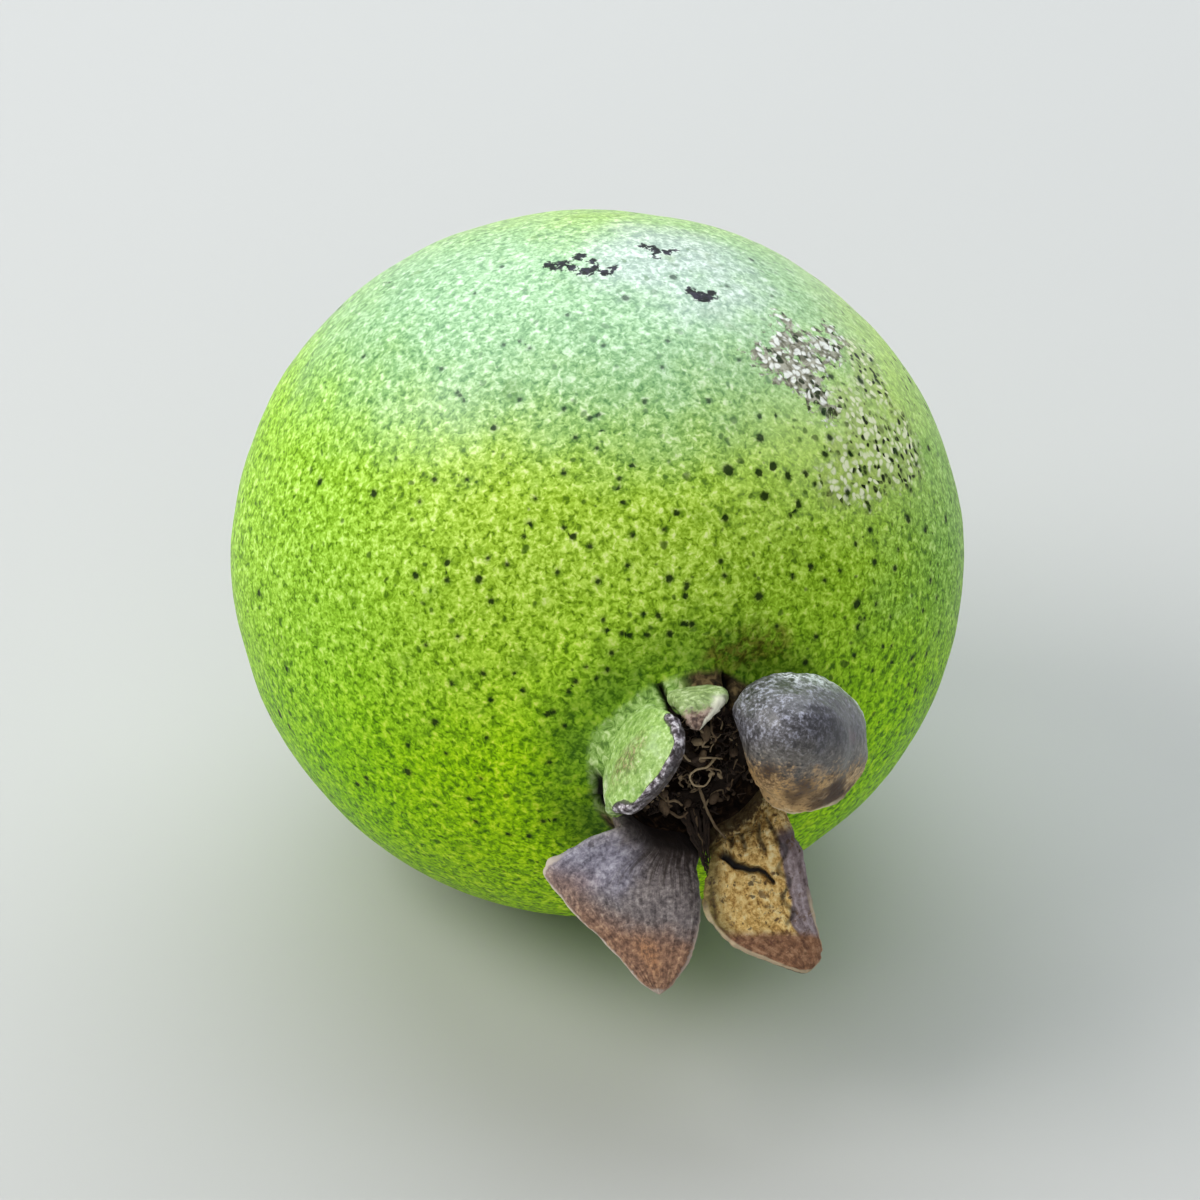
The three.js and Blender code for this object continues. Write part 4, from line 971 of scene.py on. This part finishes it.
def sepal_pointed():
    t = Tree("sepal_pointed_finish")
    al, ac, fc, mg = t.attr("along"), t.attr("across"), t.attr("face"), t.attr("margin")
    st = streaks(t, ac, al, 13.0, 3.0, 61, 0.3)
    st2 = streaks(t, ac, al, 30.0, 6.0, 62, 0.2)
    grain = t.noise(2.3, 4, 0.72, 0.2, seed=63)
    blot = t.noise(0.5, 3, 0.6, 0.3, seed=64)
    w = t.math("MULTIPLY", t.math("SUBTRACT", blot, 0.5), 2.4)
    both = t.math("MULTIPLY_ADD", st, 0.22, t.math("MULTIPLY_ADD", st2, 0.14, t.math("MULTIPLY", grain, 0.64)))
    violet = t.ramp(both, [(0.37, C(64, 56, 56)), (0.46, C(106, 97, 98)), (0.52, C(132, 122, 121)), (0.59, C(162, 152, 150)), (0.68, C(206, 198, 194))])
    blue = t.ramp(both, [(0.37, C(86, 82, 98)), (0.5, C(146, 142, 160)), (0.66, C(206, 204, 220))])
    red = t.ramp(both, [(0.37, C(80, 50, 36)), (0.46, C(122, 88, 68)), (0.53, C(158, 118, 92)), (0.60, C(192, 152, 118)), (0.70, C(228, 194, 156))])
    c = t.mix(t.math("MULTIPLY", soft_disc(t, ac, al, -0.62, 0.49, 2.4, 1.2, wander=w), 0.85), violet, blue)
    # Rusty towards the tip and in flecks along the lower margin.
    far = t.step(t.math("MULTIPLY_ADD", w, 0.045, al), 0.66, 0.82)
    c = t.mix(far, c, red)
    c = t.mix(t.math("MULTIPLY", soft_disc(t, ac, al, 0.05, 0.86, 1.1, 0.9, wander=w), t.step(grain, 0.42, 0.56, 0.1, 0.6)), c, C(204, 146, 96))
    rust = t.math("MULTIPLY", t.step(t.math("MULTIPLY_ADD", w, 0.15, ac), -0.25, -0.75), t.step(al, 0.48, 0.62))
    c = t.mix(t.math("MULTIPLY", rust, 0.6), c, red)
    # Dark streaks running out of the cup, partly stains and partly painted shade near the hollow; painted shade along
    # the root.
    stains_and_shade = t.math("MULTIPLY", t.step(t.math("MULTIPLY_ADD", st, -0.90, al), 0.10, -0.10), t.step(ac, -0.45, -0.05))
    c = t.mix(t.math("MULTIPLY", stains_and_shade, 0.86), c, C(44, 32, 26))
    c = t.mix(t.math("MULTIPLY", t.step(al, 0.35, 0.29), 0.8), c, C(30, 22, 20))
    c = t.mix(t.math("MULTIPLY", peppered(t, 0.9, 0.08, 0.26, 0.6, 65), 0.55), c, C(44, 34, 34))
    lip = t.math("MULTIPLY", t.step(t.math("MULTIPLY_ADD", t.math("SUBTRACT", grain, 0.5), 0.8, mg), 0.40, 0.14), t.step(al, 0.46, 0.56))
    c = t.mix(t.math("MULTIPLY", lip, t.step(ac, -0.2, 0.2, 0.85, 0.55)), c, C(222, 206, 192))
    outer = t.ramp(grain, [(0.36, C(50, 40, 38)), (0.5, C(92, 80, 76)), (0.66, C(132, 118, 110))])
    c = t.mix(t.step(fc, -0.15, -0.6), c, outer)
    return t.finish(c, 0.68, t.bump(t.math("MULTIPLY_ADD", st2, 0.5, both), 0.10, 0.9))


CRACK = [(-0.74, 0.430), (-0.60, 0.447), (-0.38, 0.490), (-0.20, 0.505), (-0.05, 0.523), (0.12, 0.530), (0.24, 0.550), (0.37, 0.590)]
FURROW = [(0.66, 0.46), (0.62, 0.54), (0.58, 0.61), (0.56, 0.665), (0.47, 0.71), (0.40, 0.74)]
TEARS = [[(-0.40, 0.33), (-0.50, 0.42)], [(-0.12, 0.33), (-0.22, 0.40), (-0.16, 0.44)], [(0.28, 0.34), (0.20, 0.42), (0.30, 0.47)], [(0.55, 0.36), (0.62, 0.46)]]


def split_shape(sf, uf, nn):
    d = stroke(sf, uf, CRACK)
    # The part above the crack is a loose flap standing a little proud.
    above = (np.interp(sf, [p[0] for p in CRACK], [p[1] for p in CRACK]) - uf) * 16
    flap = 0.30 * smooth(above, 0.0, 0.5) * (1 - smooth(above, 1.2, 3.4)) * smooth(sf, -0.95, -0.6) * (1 - smooth(sf, 0.35, 0.6))
    d = d / np.interp(sf, [-0.7, -0.2, 0.36], [1.15, 0.95, 0.6])
    cut = -0.75 * (1 - smooth(d, 0.10, 0.42))
    furrow = -0.24 * (1 - smooth(stroke(sf + 0.10 * np.sin(uf * 60), uf, FURROW), 0.05, 0.45))
    tears = 0
    for line in TEARS:
        tears = tears - 0.22 * (1 - smooth(stroke(sf, uf, line), 0.05, 0.40))
    hollow = -0.15 * np.exp(-((sf + 0.1) / 0.35) ** 2 - ((uf - 0.66) / 0.07) ** 2)
    return np.where(nn > 0, flap + cut + furrow + tears + hollow, 0)


def dome_shape(sf, uf, nn):
    lip = -0.22 * (1 - smooth(stroke(sf, uf, [(0.80, 0.40), (0.82, 0.56), (0.80, 0.70)]), 0.05, 0.5))
    plane = -0.25 * np.exp(-((sf - 0.05) / 0.35) ** 2 - ((uf - 0.86) / 0.07) ** 2)
    pit = -0.22 * np.exp(-((sf + 0.81) / 0.12) ** 2 - ((uf - 0.615) / 0.03) ** 2)
    return np.where(nn > 0, lip + plane + pit, 0)


SPECS = {
    "upright": dict(seed=2.0, mat=sepal_upright, slot="green_sepal", node="sepal_upright", grit=0.035, crease=0.03, warp=0.12, rim=0.35, blunt=0.90, ragged=0.25),
    "stub": dict(seed=3.0, mat=sepal_stub, slot="green_sepal", node="sepal_stub", across=40, along=80, grit=0.05, crease=0.06, warp=0.12, blunt=0.93, ragged=0.2),
    "domed": dict(seed=4.0, mat=sepal_domed, slot="weathered_sepal", node="sepal_domed", across=76, along=140, grit=0.05, crease=0.05, warp=0.15, thick=0.72, blunt=0.95, shape=dome_shape),
    "split": dict(turn=-1, seed=5.0, mat=sepal_split, slot="tan_sepal", node="sepal_split", across=96, along=190, grit=0.07, crease=0.08, warp=0.14, blunt=0.94, shape=split_shape),
    "pointed": dict(turn=-1, seed=6.0, mat=sepal_pointed, slot="weathered_sepal", node="sepal_pointed", across=84, along=140, grit=0.045, crease=0.10, warp=0.22, blunt=0.955),
}
for key, spec in SPECS.items():
    spec = dict(spec)
    mat, slot, node = spec.pop("mat"), spec.pop("slot"), spec.pop("node")
    V, F, at = build_lobe(LOBES[key], **spec)
    if key == "split":
        ac, al = at["across"], at["along"]
        # Painted shade for the split sepal: darkest in the crack, lighter in the furrow and the tears.
        painted_shade_lines = 1 - smooth(stroke(ac, al, CRACK) / np.interp(ac, [-0.7, -0.2, 0.36], [1.2, 0.95, 0.55]), 0.14, 0.34)
        painted_shade_lines = np.maximum(painted_shade_lines, 0.62 * (1 - smooth(stroke(ac + 0.10 * np.sin(al * 60), al, FURROW), 0.04, 0.38)))
        for line in TEARS:
            painted_shade_lines = np.maximum(painted_shade_lines, 0.75 * (1 - smooth(stroke(ac, al, line), 0.06, 0.36)))
        at["painted_shade_lines"] = np.where(at["face"] > 0, painted_shade_lines, 0)
    make_piece("guava_" + node, V, F, mat(), node, at)


# ---- withered stamens, style and stalk ----
def tube(path, radius, sides=7, taper=0.5):
    """Closed tube along path (mm), radius at the start, taper at the end."""
    path = np.asarray(path, float)
    n = len(path)
    tan = unit(np.gradient(path, axis=0))
    ref = np.array([0.3, 0.5, 0.8])
    side = unit(np.cross(tan[0], ref))
    V = []
    for i in range(n):
        side = unit(side - tan[i] * (side @ tan[i]))
        other = np.cross(tan[i], side)
        rr = radius * (1 + (taper - 1) * i / (n - 1))
        for j in range(sides):
            a = 2 * np.pi * j / sides
            V.append(path[i] + rr * (math.cos(a) * side + math.sin(a) * other))
    V += [path[0], path[-1]]
    F = grid_faces(n, sides)
    m = n * sides
    F += [(m, (j + 1) % sides, j) for j in range(sides)]
    b = (n - 1) * sides
    F += [(m + 1, b + j, b + (j + 1) % sides) for j in range(sides)]
    V = np.array(V)
    return V, facing_out(V, F)


def join(parts):
    V, F, A, off = [], [], [], 0
    for v, f, a in parts:
        V.append(v)
        F += [tuple(i + off for i in q) for q in f]
        A.append(np.full(len(v), a))
        off += len(v)
    return np.vstack(V), F, np.concatenate(A)


def place(x, z, a):
    return np.array([x, -(RIM_HEIGHT + a), z + CENTRE_HEIGHT])


rng = np.random.default_rng(7)
parts = []
# The crusted ring that carries them.
ring_n, ring_m = 90, 16
rv = []
for i in range(ring_n):
    a = 2 * np.pi * i / ring_n
    for j in range(ring_m):
        b = 2 * np.pi * j / ring_m
        rr = 4.75 + 0.75 * math.cos(b) + 0.12 * math.sin(7 * a + b)
        hh = CUP_FLOOR + 1.0 + (0.75 + 0.25 * math.sin(5 * a + 1) + 0.2 * math.sin(13 * a)) * math.sin(b) * (1.0 if math.sin(b) > 0 else 0.5)
        rv.append([rr * math.cos(a), -hh, rr * math.sin(a) + CENTRE_HEIGHT])
rv = np.array(rv)
rf = []
for i in range(ring_n):
    for j in range(ring_m):
        k, l = (i + 1) % ring_n, (j + 1) % ring_m
        rf.append((i * ring_m + j, i * ring_m + l, k * ring_m + l, k * ring_m + j))
rv = rv + unit(rv - np.array([0, -CUP_FLOOR - 1, CENTRE_HEIGHT])) * (0.12 * field(rv, 0.5, 31, 2))[:, None]
parts.append((rv, facing_out(rv, rf), 0.1))
def blob(centre, radius, axis):
    """A small lumpy seed-like body."""
    nlat, nlon = 7, 9
    axis = unit(np.asarray(axis, float))
    u1 = unit(np.cross(axis, [0.31, 0.52, 0.79]))
    u2 = np.cross(axis, u1)
    v = []
    for i in range(1, nlat):
        th = math.pi * i / nlat
        for j in range(nlon):
            ph = 2 * math.pi * j / nlon
            v.append(centre + radius * (1.7 * math.cos(th) * axis + math.sin(th) * (math.cos(ph) * u1 + math.sin(ph) * u2)))
    v += [centre + 1.7 * radius * axis, centre - 1.7 * radius * axis]
    f = grid_faces(nlat - 1, nlon)
    m = (nlat - 1) * nlon
    f += [(m, (j + 1) % nlon, j) for j in range(nlon)]
    bb = (nlat - 2) * nlon
    f += [(m + 1, bb + j, bb + (j + 1) % nlon) for j in range(nlon)]
    v = np.array(v)
    v = v + unit(v - centre) * (0.25 * radius * field(v, radius * 1.2, 61))[:, None]
    return v, facing_out(v, f)


# Withered stamens: short crooked filaments packed in the cup, some with their anthers.
for i in range(260):
    a = rng.uniform(0, 2 * np.pi)
    r0 = 5.4 * math.sqrt(rng.uniform(0.02, 1.0))
    depth = rng.uniform(-3.7, -1.2) + 0.25 * max(r0 - 4.0, 0)
    p = np.array([r0 * math.cos(a), r0 * math.sin(a), depth])
    d = rng.normal(size=3) * np.array([1, 1, 0.55])
    pts = [p.copy()]
    for k in range(int(rng.integers(3, 7))):
        d = unit(d + rng.normal(size=3) * np.array([1.1, 1.1, 0.8]))
        p = p + d * rng.uniform(0.22, 0.48)
        r = math.hypot(p[0], p[1])
        if r > 5.6:
            p[:2] *= 5.6 / r
        p[2] = min(max(p[2], -3.9), -0.7)
        pts.append(p.copy())
    c = catmull(pts, np.linspace(0, 1, 4 * len(pts)))
    tone = rng.uniform(0.02, 0.26) if rng.uniform() < 0.78 else rng.uniform(0.35, 0.85)
    v, f = tube([place(*q) for q in c], rng.uniform(0.05, 0.11), 6, 0.6)
    parts.append((v, f, tone))
    if i % 3 == 0:
        v, f = blob(place(*pts[-1]), rng.uniform(0.12, 0.24), rng.normal(size=3))
        parts.append((v, f, float(np.clip(tone + rng.uniform(-0.1, 0.25), 0.05, 0.95))))
# Longer threads caught in the mouth of the cup, and shreds over its lower lip.
for pts, r, tone in (
    ([(-1.4, 2.4, -2.6), (-0.9, 1.6, -1.6), (-0.3, 1.0, -1.0), (0.6, 1.25, -0.8), (1.9, 0.95, -0.9), (2.5, 0.3, -1.5)], 0.11, 0.8),
    ([(1.9, 0.4, -1.6), (1.1, 0.2, -0.9), (0.1, 0.15, -0.8), (-0.4, -0.5, -0.8), (0.0, -1.35, -0.8), (0.9, -1.65, -0.9), (1.6, -1.1, -1.4)], 0.12, 0.9),
    ([(0.7, 4.4, -2.6), (0.6, 3.7, -1.6), (1.1, 3.0, -1.1), (0.7, 2.3, -1.0), (1.3, 1.8, -1.4)], 0.15, 0.7),
    ([(1.9, 4.0, -2.4), (1.6, 3.3, -1.5), (1.9, 2.6, -1.2), (1.5, 2.0, -1.6)], 0.13, 0.55),
    ([(0.6, -2.2, -2.6), (0.8, -3.0, -1.4), (1.0, -3.9, -0.4), (1.4, -4.7, 0.8), (1.8, -4.9, 2.0), (2.0, -5.1, 2.9)], 0.14, 0.62),
    ([(-2.8, -2.4, -2.4), (-2.2, -2.9, -1.4), (-1.5, -2.8, -1.0), (-0.9, -3.4, -1.0)], 0.16, 0.6),
    ([(-2.6, -4.3, -2.2), (-1.9, -4.0, -1.2), (-1.2, -4.4, -0.8), (-0.5, -4.1, -1.0)], 0.16, 0.5),
):
    c = catmull(pts, np.linspace(0, 1, 40))
    v, f = tube([place(*p) for p in c], r, 8, 0.55)
    v = v + 0.05 * np.stack([field(v, 0.4, 71), field(v, 0.4, 72), field(v, 0.4, 73)], 1)
    parts.append((v, f, tone))
# Dark shreds spilling over the lower lip, between the two lower sepals: partly real shreds, partly a dark fill standing
# in for the shade in the gap there.
for i in range(26):
    k = rng.uniform(-1, 1)
    pts = [(0.2 + 1.3 * k, -4.3 - 0.3 * abs(k), -1.5), (0.15 + 0.9 * k, -5.3, 0.1)]
    pts.append((0.10 + 0.45 * k + rng.uniform(-0.15, 0.15), -6.0 + rng.uniform(-0.15, 0.15), 1.3))
    if rng.uniform() < 0.75:
        pts.append((0.08 + 0.30 * k + rng.uniform(-0.15, 0.15), -6.6 + rng.uniform(-0.2, 0.2), 2.4 + rng.uniform(-0.2, 0.2)))
    if rng.uniform() < 0.6:
        pts.append((0.05 + 0.20 * k + rng.uniform(-0.12, 0.12), -7.05 + rng.uniform(-0.25, 0.25), 3.4 + rng.uniform(-0.4, 0.4)))
    c = catmull(pts, np.linspace(0, 1, 26))
    c = c + 0.16 * np.stack([field(c, 0.7, 81 + i), field(c, 0.7, 131 + i), field(c, 0.7, 181 + i)], 1)
    v, f = tube([place(*p) for p in c], rng.uniform(0.06, 0.15), 6, 0.4)
    parts.append((v, f, rng.uniform(0.0, 0.22) if rng.uniform() < 0.85 else 0.5))
for a, r0, depth, size, tone in ((0.9, 1.3, -1.3, 0.34, 0.55), (1.25, 3.4, -1.4, 0.42, 0.5), (1.45, 2.6, -1.3, 0.36, 0.65), (4.1, 4.2, -1.2, 0.42, 0.45),
                                 (3.9, 3.2, -1.4, 0.30, 0.35), (4.6, 3.6, -1.5, 0.34, 0.3), (0.2, 3.6, -1.8, 0.40, 0.3), (2.6, 3.2, -1.8, 0.40, 0.25), (5.2, 3.9, -1.4, 0.36, 0.4)):
    v, f = blob(place(r0 * math.cos(a), r0 * math.sin(a), depth), size, rng.normal(size=3))
    parts.append((v, f, tone))


def fibre_material():
    t = Tree("dry_fibre_finish")
    tone = t.attr("tone")
    n = t.noise(2.2, 4, 0.65, 0.8, seed=71)
    c = t.ramp(t.math("MULTIPLY_ADD", n, 0.35, t.math("MULTIPLY", tone, 0.8)), [(0.1, C(24, 17, 14)), (0.35, C(62, 48, 38)), (0.6, C(118, 98, 74)), (0.95, C(206, 184, 146))])
    return t.finish(c, 0.9, t.bump(n, 0.04, 0.8))


fibre = fibre_material()
V, F, tone = join(parts)
make_piece("guava_dried_stamens", V, F, fibre, "dried_stamens", {"tone": tone})

path = [place(0.9 * q * q + 0.08 * math.sin(9 * q), -0.45 * q * q + 0.06 * math.cos(7 * q), CUP_FLOOR - 0.1 + q * (RIM_HEIGHT - 1.9 - CUP_FLOOR) - RIM_HEIGHT) for q in np.linspace(0, 1, 26)]
V, F = tube(path, 0.78, 18, 0.5)
V = V + unit(np.random.default_rng(3).normal(size=V.shape)) * 0.0
V[:, 0] += 0.10 * field(V, 0.7, 41, 2)
V[:, 2] += 0.10 * field(V, 0.7, 42, 2)
make_piece("guava_style_stub", V, F, fibre, "style_stub", {"tone": np.full(len(V), 0.25)})


def build_stalk():
    ctrl = [(0, STEM_PIT + 0.35, 0), (0, STEM_PIT + 0.75, 0), (0, STEM_PIT + 0.75 + STALK_LENGTH * 0.33, 0.1),
            (0.5, STEM_PIT + 0.75 + STALK_LENGTH * 0.67, 0.8), (1.5, STEM_PIT + 0.75 + STALK_LENGTH, 2.2)]
    n, sides = 90, 48
    t = np.linspace(0, 1, n)
    c = catmull(ctrl[1:], t)
    c[0] = (0, STEM_PIT - 0.6, 0)
    d = unit(np.gradient(c, axis=0))
    V = []
    for i in range(n):
        sideways = unit(np.array([1.0, 0, 0]) - d[i] * d[i][0])
        up = np.cross(sideways, d[i])
        flare = 0.75 * (1 - smooth(t[i], 0, 0.22)) + 0.3 * smooth(t[i], 0.82, 1)
        for j in range(sides):
            a = 2 * np.pi * j / sides
            r = STALK_RADIUS + float(flare) + 0.08 * math.sin(3 * a + 4 * t[i]) + 0.05 * math.sin(8 * a + 1.3 * math.sin(5 * t[i]))
            V.append(c[i] + r * (math.cos(a) * sideways + math.sin(a) * up))
    V = np.array(V)
    V = V + unit(V - np.repeat(c, sides, 0)) * (0.07 * field(V, 1.0, 51, 3))[:, None]
    cap = np.zeros(len(V))
    # Cut end: an inner ring, a slightly sunk pith and a sharp edge.
    last = V[-sides:]
    mid = last.mean(0)
    rings, caps = [], []
    for k, depth in ((0.93, 0.0), (0.7, 0.02), (0.45, 0.03), (0.24, 0.05), (0.2, 0.22)):
        rings.append(mid + (last - mid) * k - d[-1] * depth)
        caps.append(np.full(sides, k if k > 0.21 else 0.05))
    V = np.vstack([V] + rings + [[c[0]], [mid - d[-1] * 0.25]])
    rows = n + 5
    F = grid_faces(rows, sides)
    m = rows * sides
    F += [(m, (j + 1) % sides, j) for j in range(sides)]
    b = (rows - 1) * sides
    F += [(m + 1, b + j, b + (j + 1) % sides) for j in range(sides)]
    end = np.concatenate([cap, *[1.0 - 0.0 * q for q in caps], [0, 1]])
    span = np.concatenate([np.repeat(t, sides), np.ones(5 * sides), [0, 1]])
    V[:, 2] += CENTRE_HEIGHT
    return V, facing_out(V, F), {"cut": end, "along": span}


def stalk_material():
    t = Tree("stalk_bark_finish")
    al = t.attr("along")
    n = t.noise(1.1, 4, 0.65, 0.6, seed=81)
    stretched = t.noise(1.0, 4, 0.65, 0.4, vec=t.vec("MULTIPLY", t.mm, (2.4, 0.5, 2.4)), seed=82)
    bark = t.ramp(stretched, [(0.3, C(60, 62, 28)), (0.48, C(98, 102, 48)), (0.62, C(128, 118, 70)), (0.76, C(160, 146, 104))])
    bark = t.mix(t.step(al, 0.3, 0.0, 0, 0.7), bark, C(116, 132, 60))
    v = t.voronoi(0.8, seed=83)
    cork = t.math("MULTIPLY", t.step(v["Distance"], 0.26, 0.16), t.step(t.xyz(v["Color"])[0], 0.5, 0.55))
    bark = t.mix(t.math("MULTIPLY", cork, 0.75), bark, C(150, 132, 98))
    cut = t.ramp(t.noise(2.2, 3, 0.6, 0.5, seed=84), [(0.3, C(150, 132, 88)), (0.6, C(196, 180, 132)), (0.8, C(214, 204, 166))])
    c = t.mix(t.attr("cut"), bark, cut)
    return t.finish(c, 0.78, t.bump(t.math("ADD", stretched, t.math("MULTIPLY", cork, 0.6)), 0.14, 0.9))


V, F, at = build_stalk()
make_piece("guava_stalk", V, F, stalk_material(), "stalk", at)

# ---- floor and lights ----
bpy.ops.mesh.primitive_plane_add(size=12.0, location=(0, 0, -0.00005))
floor = bpy.context.object
floor.name = "floor"
fm = bpy.data.materials.new("floor_finish")
fm.use_nodes = True
fb = fm.node_tree.nodes["Principled BSDF"]
fb.inputs["Base Color"].default_value = (0.56, 0.56, 0.55, 1)
fb.inputs["Roughness"].default_value = 0.85
# Far away the floor glows faintly, like a lit studio sweep, so that it meets the backdrop without a dark band.
fb.inputs["Emission Color"].default_value = (0.96, 0.98, 1.0, 1)
where = fm.node_tree.nodes.new("ShaderNodeTexCoord")
far = fm.node_tree.nodes.new("ShaderNodeVectorMath")
far.operation = "LENGTH"
glow = fm.node_tree.nodes.new("ShaderNodeMapRange")
glow.interpolation_type = "SMOOTHSTEP"
glow.inputs["From Min"].default_value = 0.42
glow.inputs["From Max"].default_value = 0.94
glow.inputs["To Max"].default_value = 0.46
fm.node_tree.links.new(where.outputs["Object"], far.inputs[0])
fm.node_tree.links.new(far.outputs["Value"], glow.inputs["Value"])
fm.node_tree.links.new(glow.outputs["Result"], fb.inputs["Emission Strength"])
floor.data.materials.append(fm)


def area(name, direction, distance, size, power, color=(1, 1, 1), size_y=None):
    d = unit(np.array(direction, float))
    ld = bpy.data.lights.new(name, "AREA")
    ld.shape = "RECTANGLE"
    ld.size = size
    ld.size_y = size_y or size
    ld.energy = power
    ld.color = color
    lo = bpy.data.objects.new(name, ld)
    bpy.context.scene.collection.objects.link(lo)
    target = CENTRE * MM
    lo.location = target + d * distance
    lo.rotation_euler = Vector(-d).to_track_quat("-Z", "Y").to_euler()
    return lo


BEHIND = np.array([0.2521, 0.9677, 0.0])
area("sky", 0.90 * BEHIND + 0.10 * RIGHT + 1.05 * np.array([0, 0, 1]), 0.55, 0.80, 3.6, (0.90, 0.96, 1.0), 0.66)
area("key", 0.85 * -RIGHT + 0.20 * BACK + 0.70 * np.array([0, 0, 1]), 0.60, 0.36, 2.2, (1.0, 0.99, 0.95))
area("fill", 0.05 * RIGHT + 1.0 * BACK + 0.15 * np.array([0, 0, 1]), 0.90, 0.45, 1.1, (1.0, 1.0, 1.0))

world = bpy.data.worlds.new("studio")
bpy.context.scene.world = world
world.use_nodes = True
bg = world.node_tree.nodes["Background"]
bg.inputs[0].default_value = (0.94, 0.97, 1.0, 1)
# The backdrop is brighter low down.
look = world.node_tree.nodes.new("ShaderNodeTexCoord")
split_z = world.node_tree.nodes.new("ShaderNodeSeparateXYZ")
rise = world.node_tree.nodes.new("ShaderNodeMapRange")
rise.interpolation_type = "SMOOTHSTEP"
rise.inputs["From Min"].default_value = 0.0
rise.inputs["From Max"].default_value = 0.45
rise.inputs["To Min"].default_value = 0.62
rise.inputs["To Max"].default_value = 0.24
world.node_tree.links.new(look.outputs["Generated"], split_z.inputs[0])
world.node_tree.links.new(split_z.outputs["Z"], rise.inputs["Value"])
world.node_tree.links.new(rise.outputs["Result"], bg.inputs[1])
bpy.context.scene.view_settings.view_transform = "Standard"
bpy.context.scene.view_settings.look = "None"
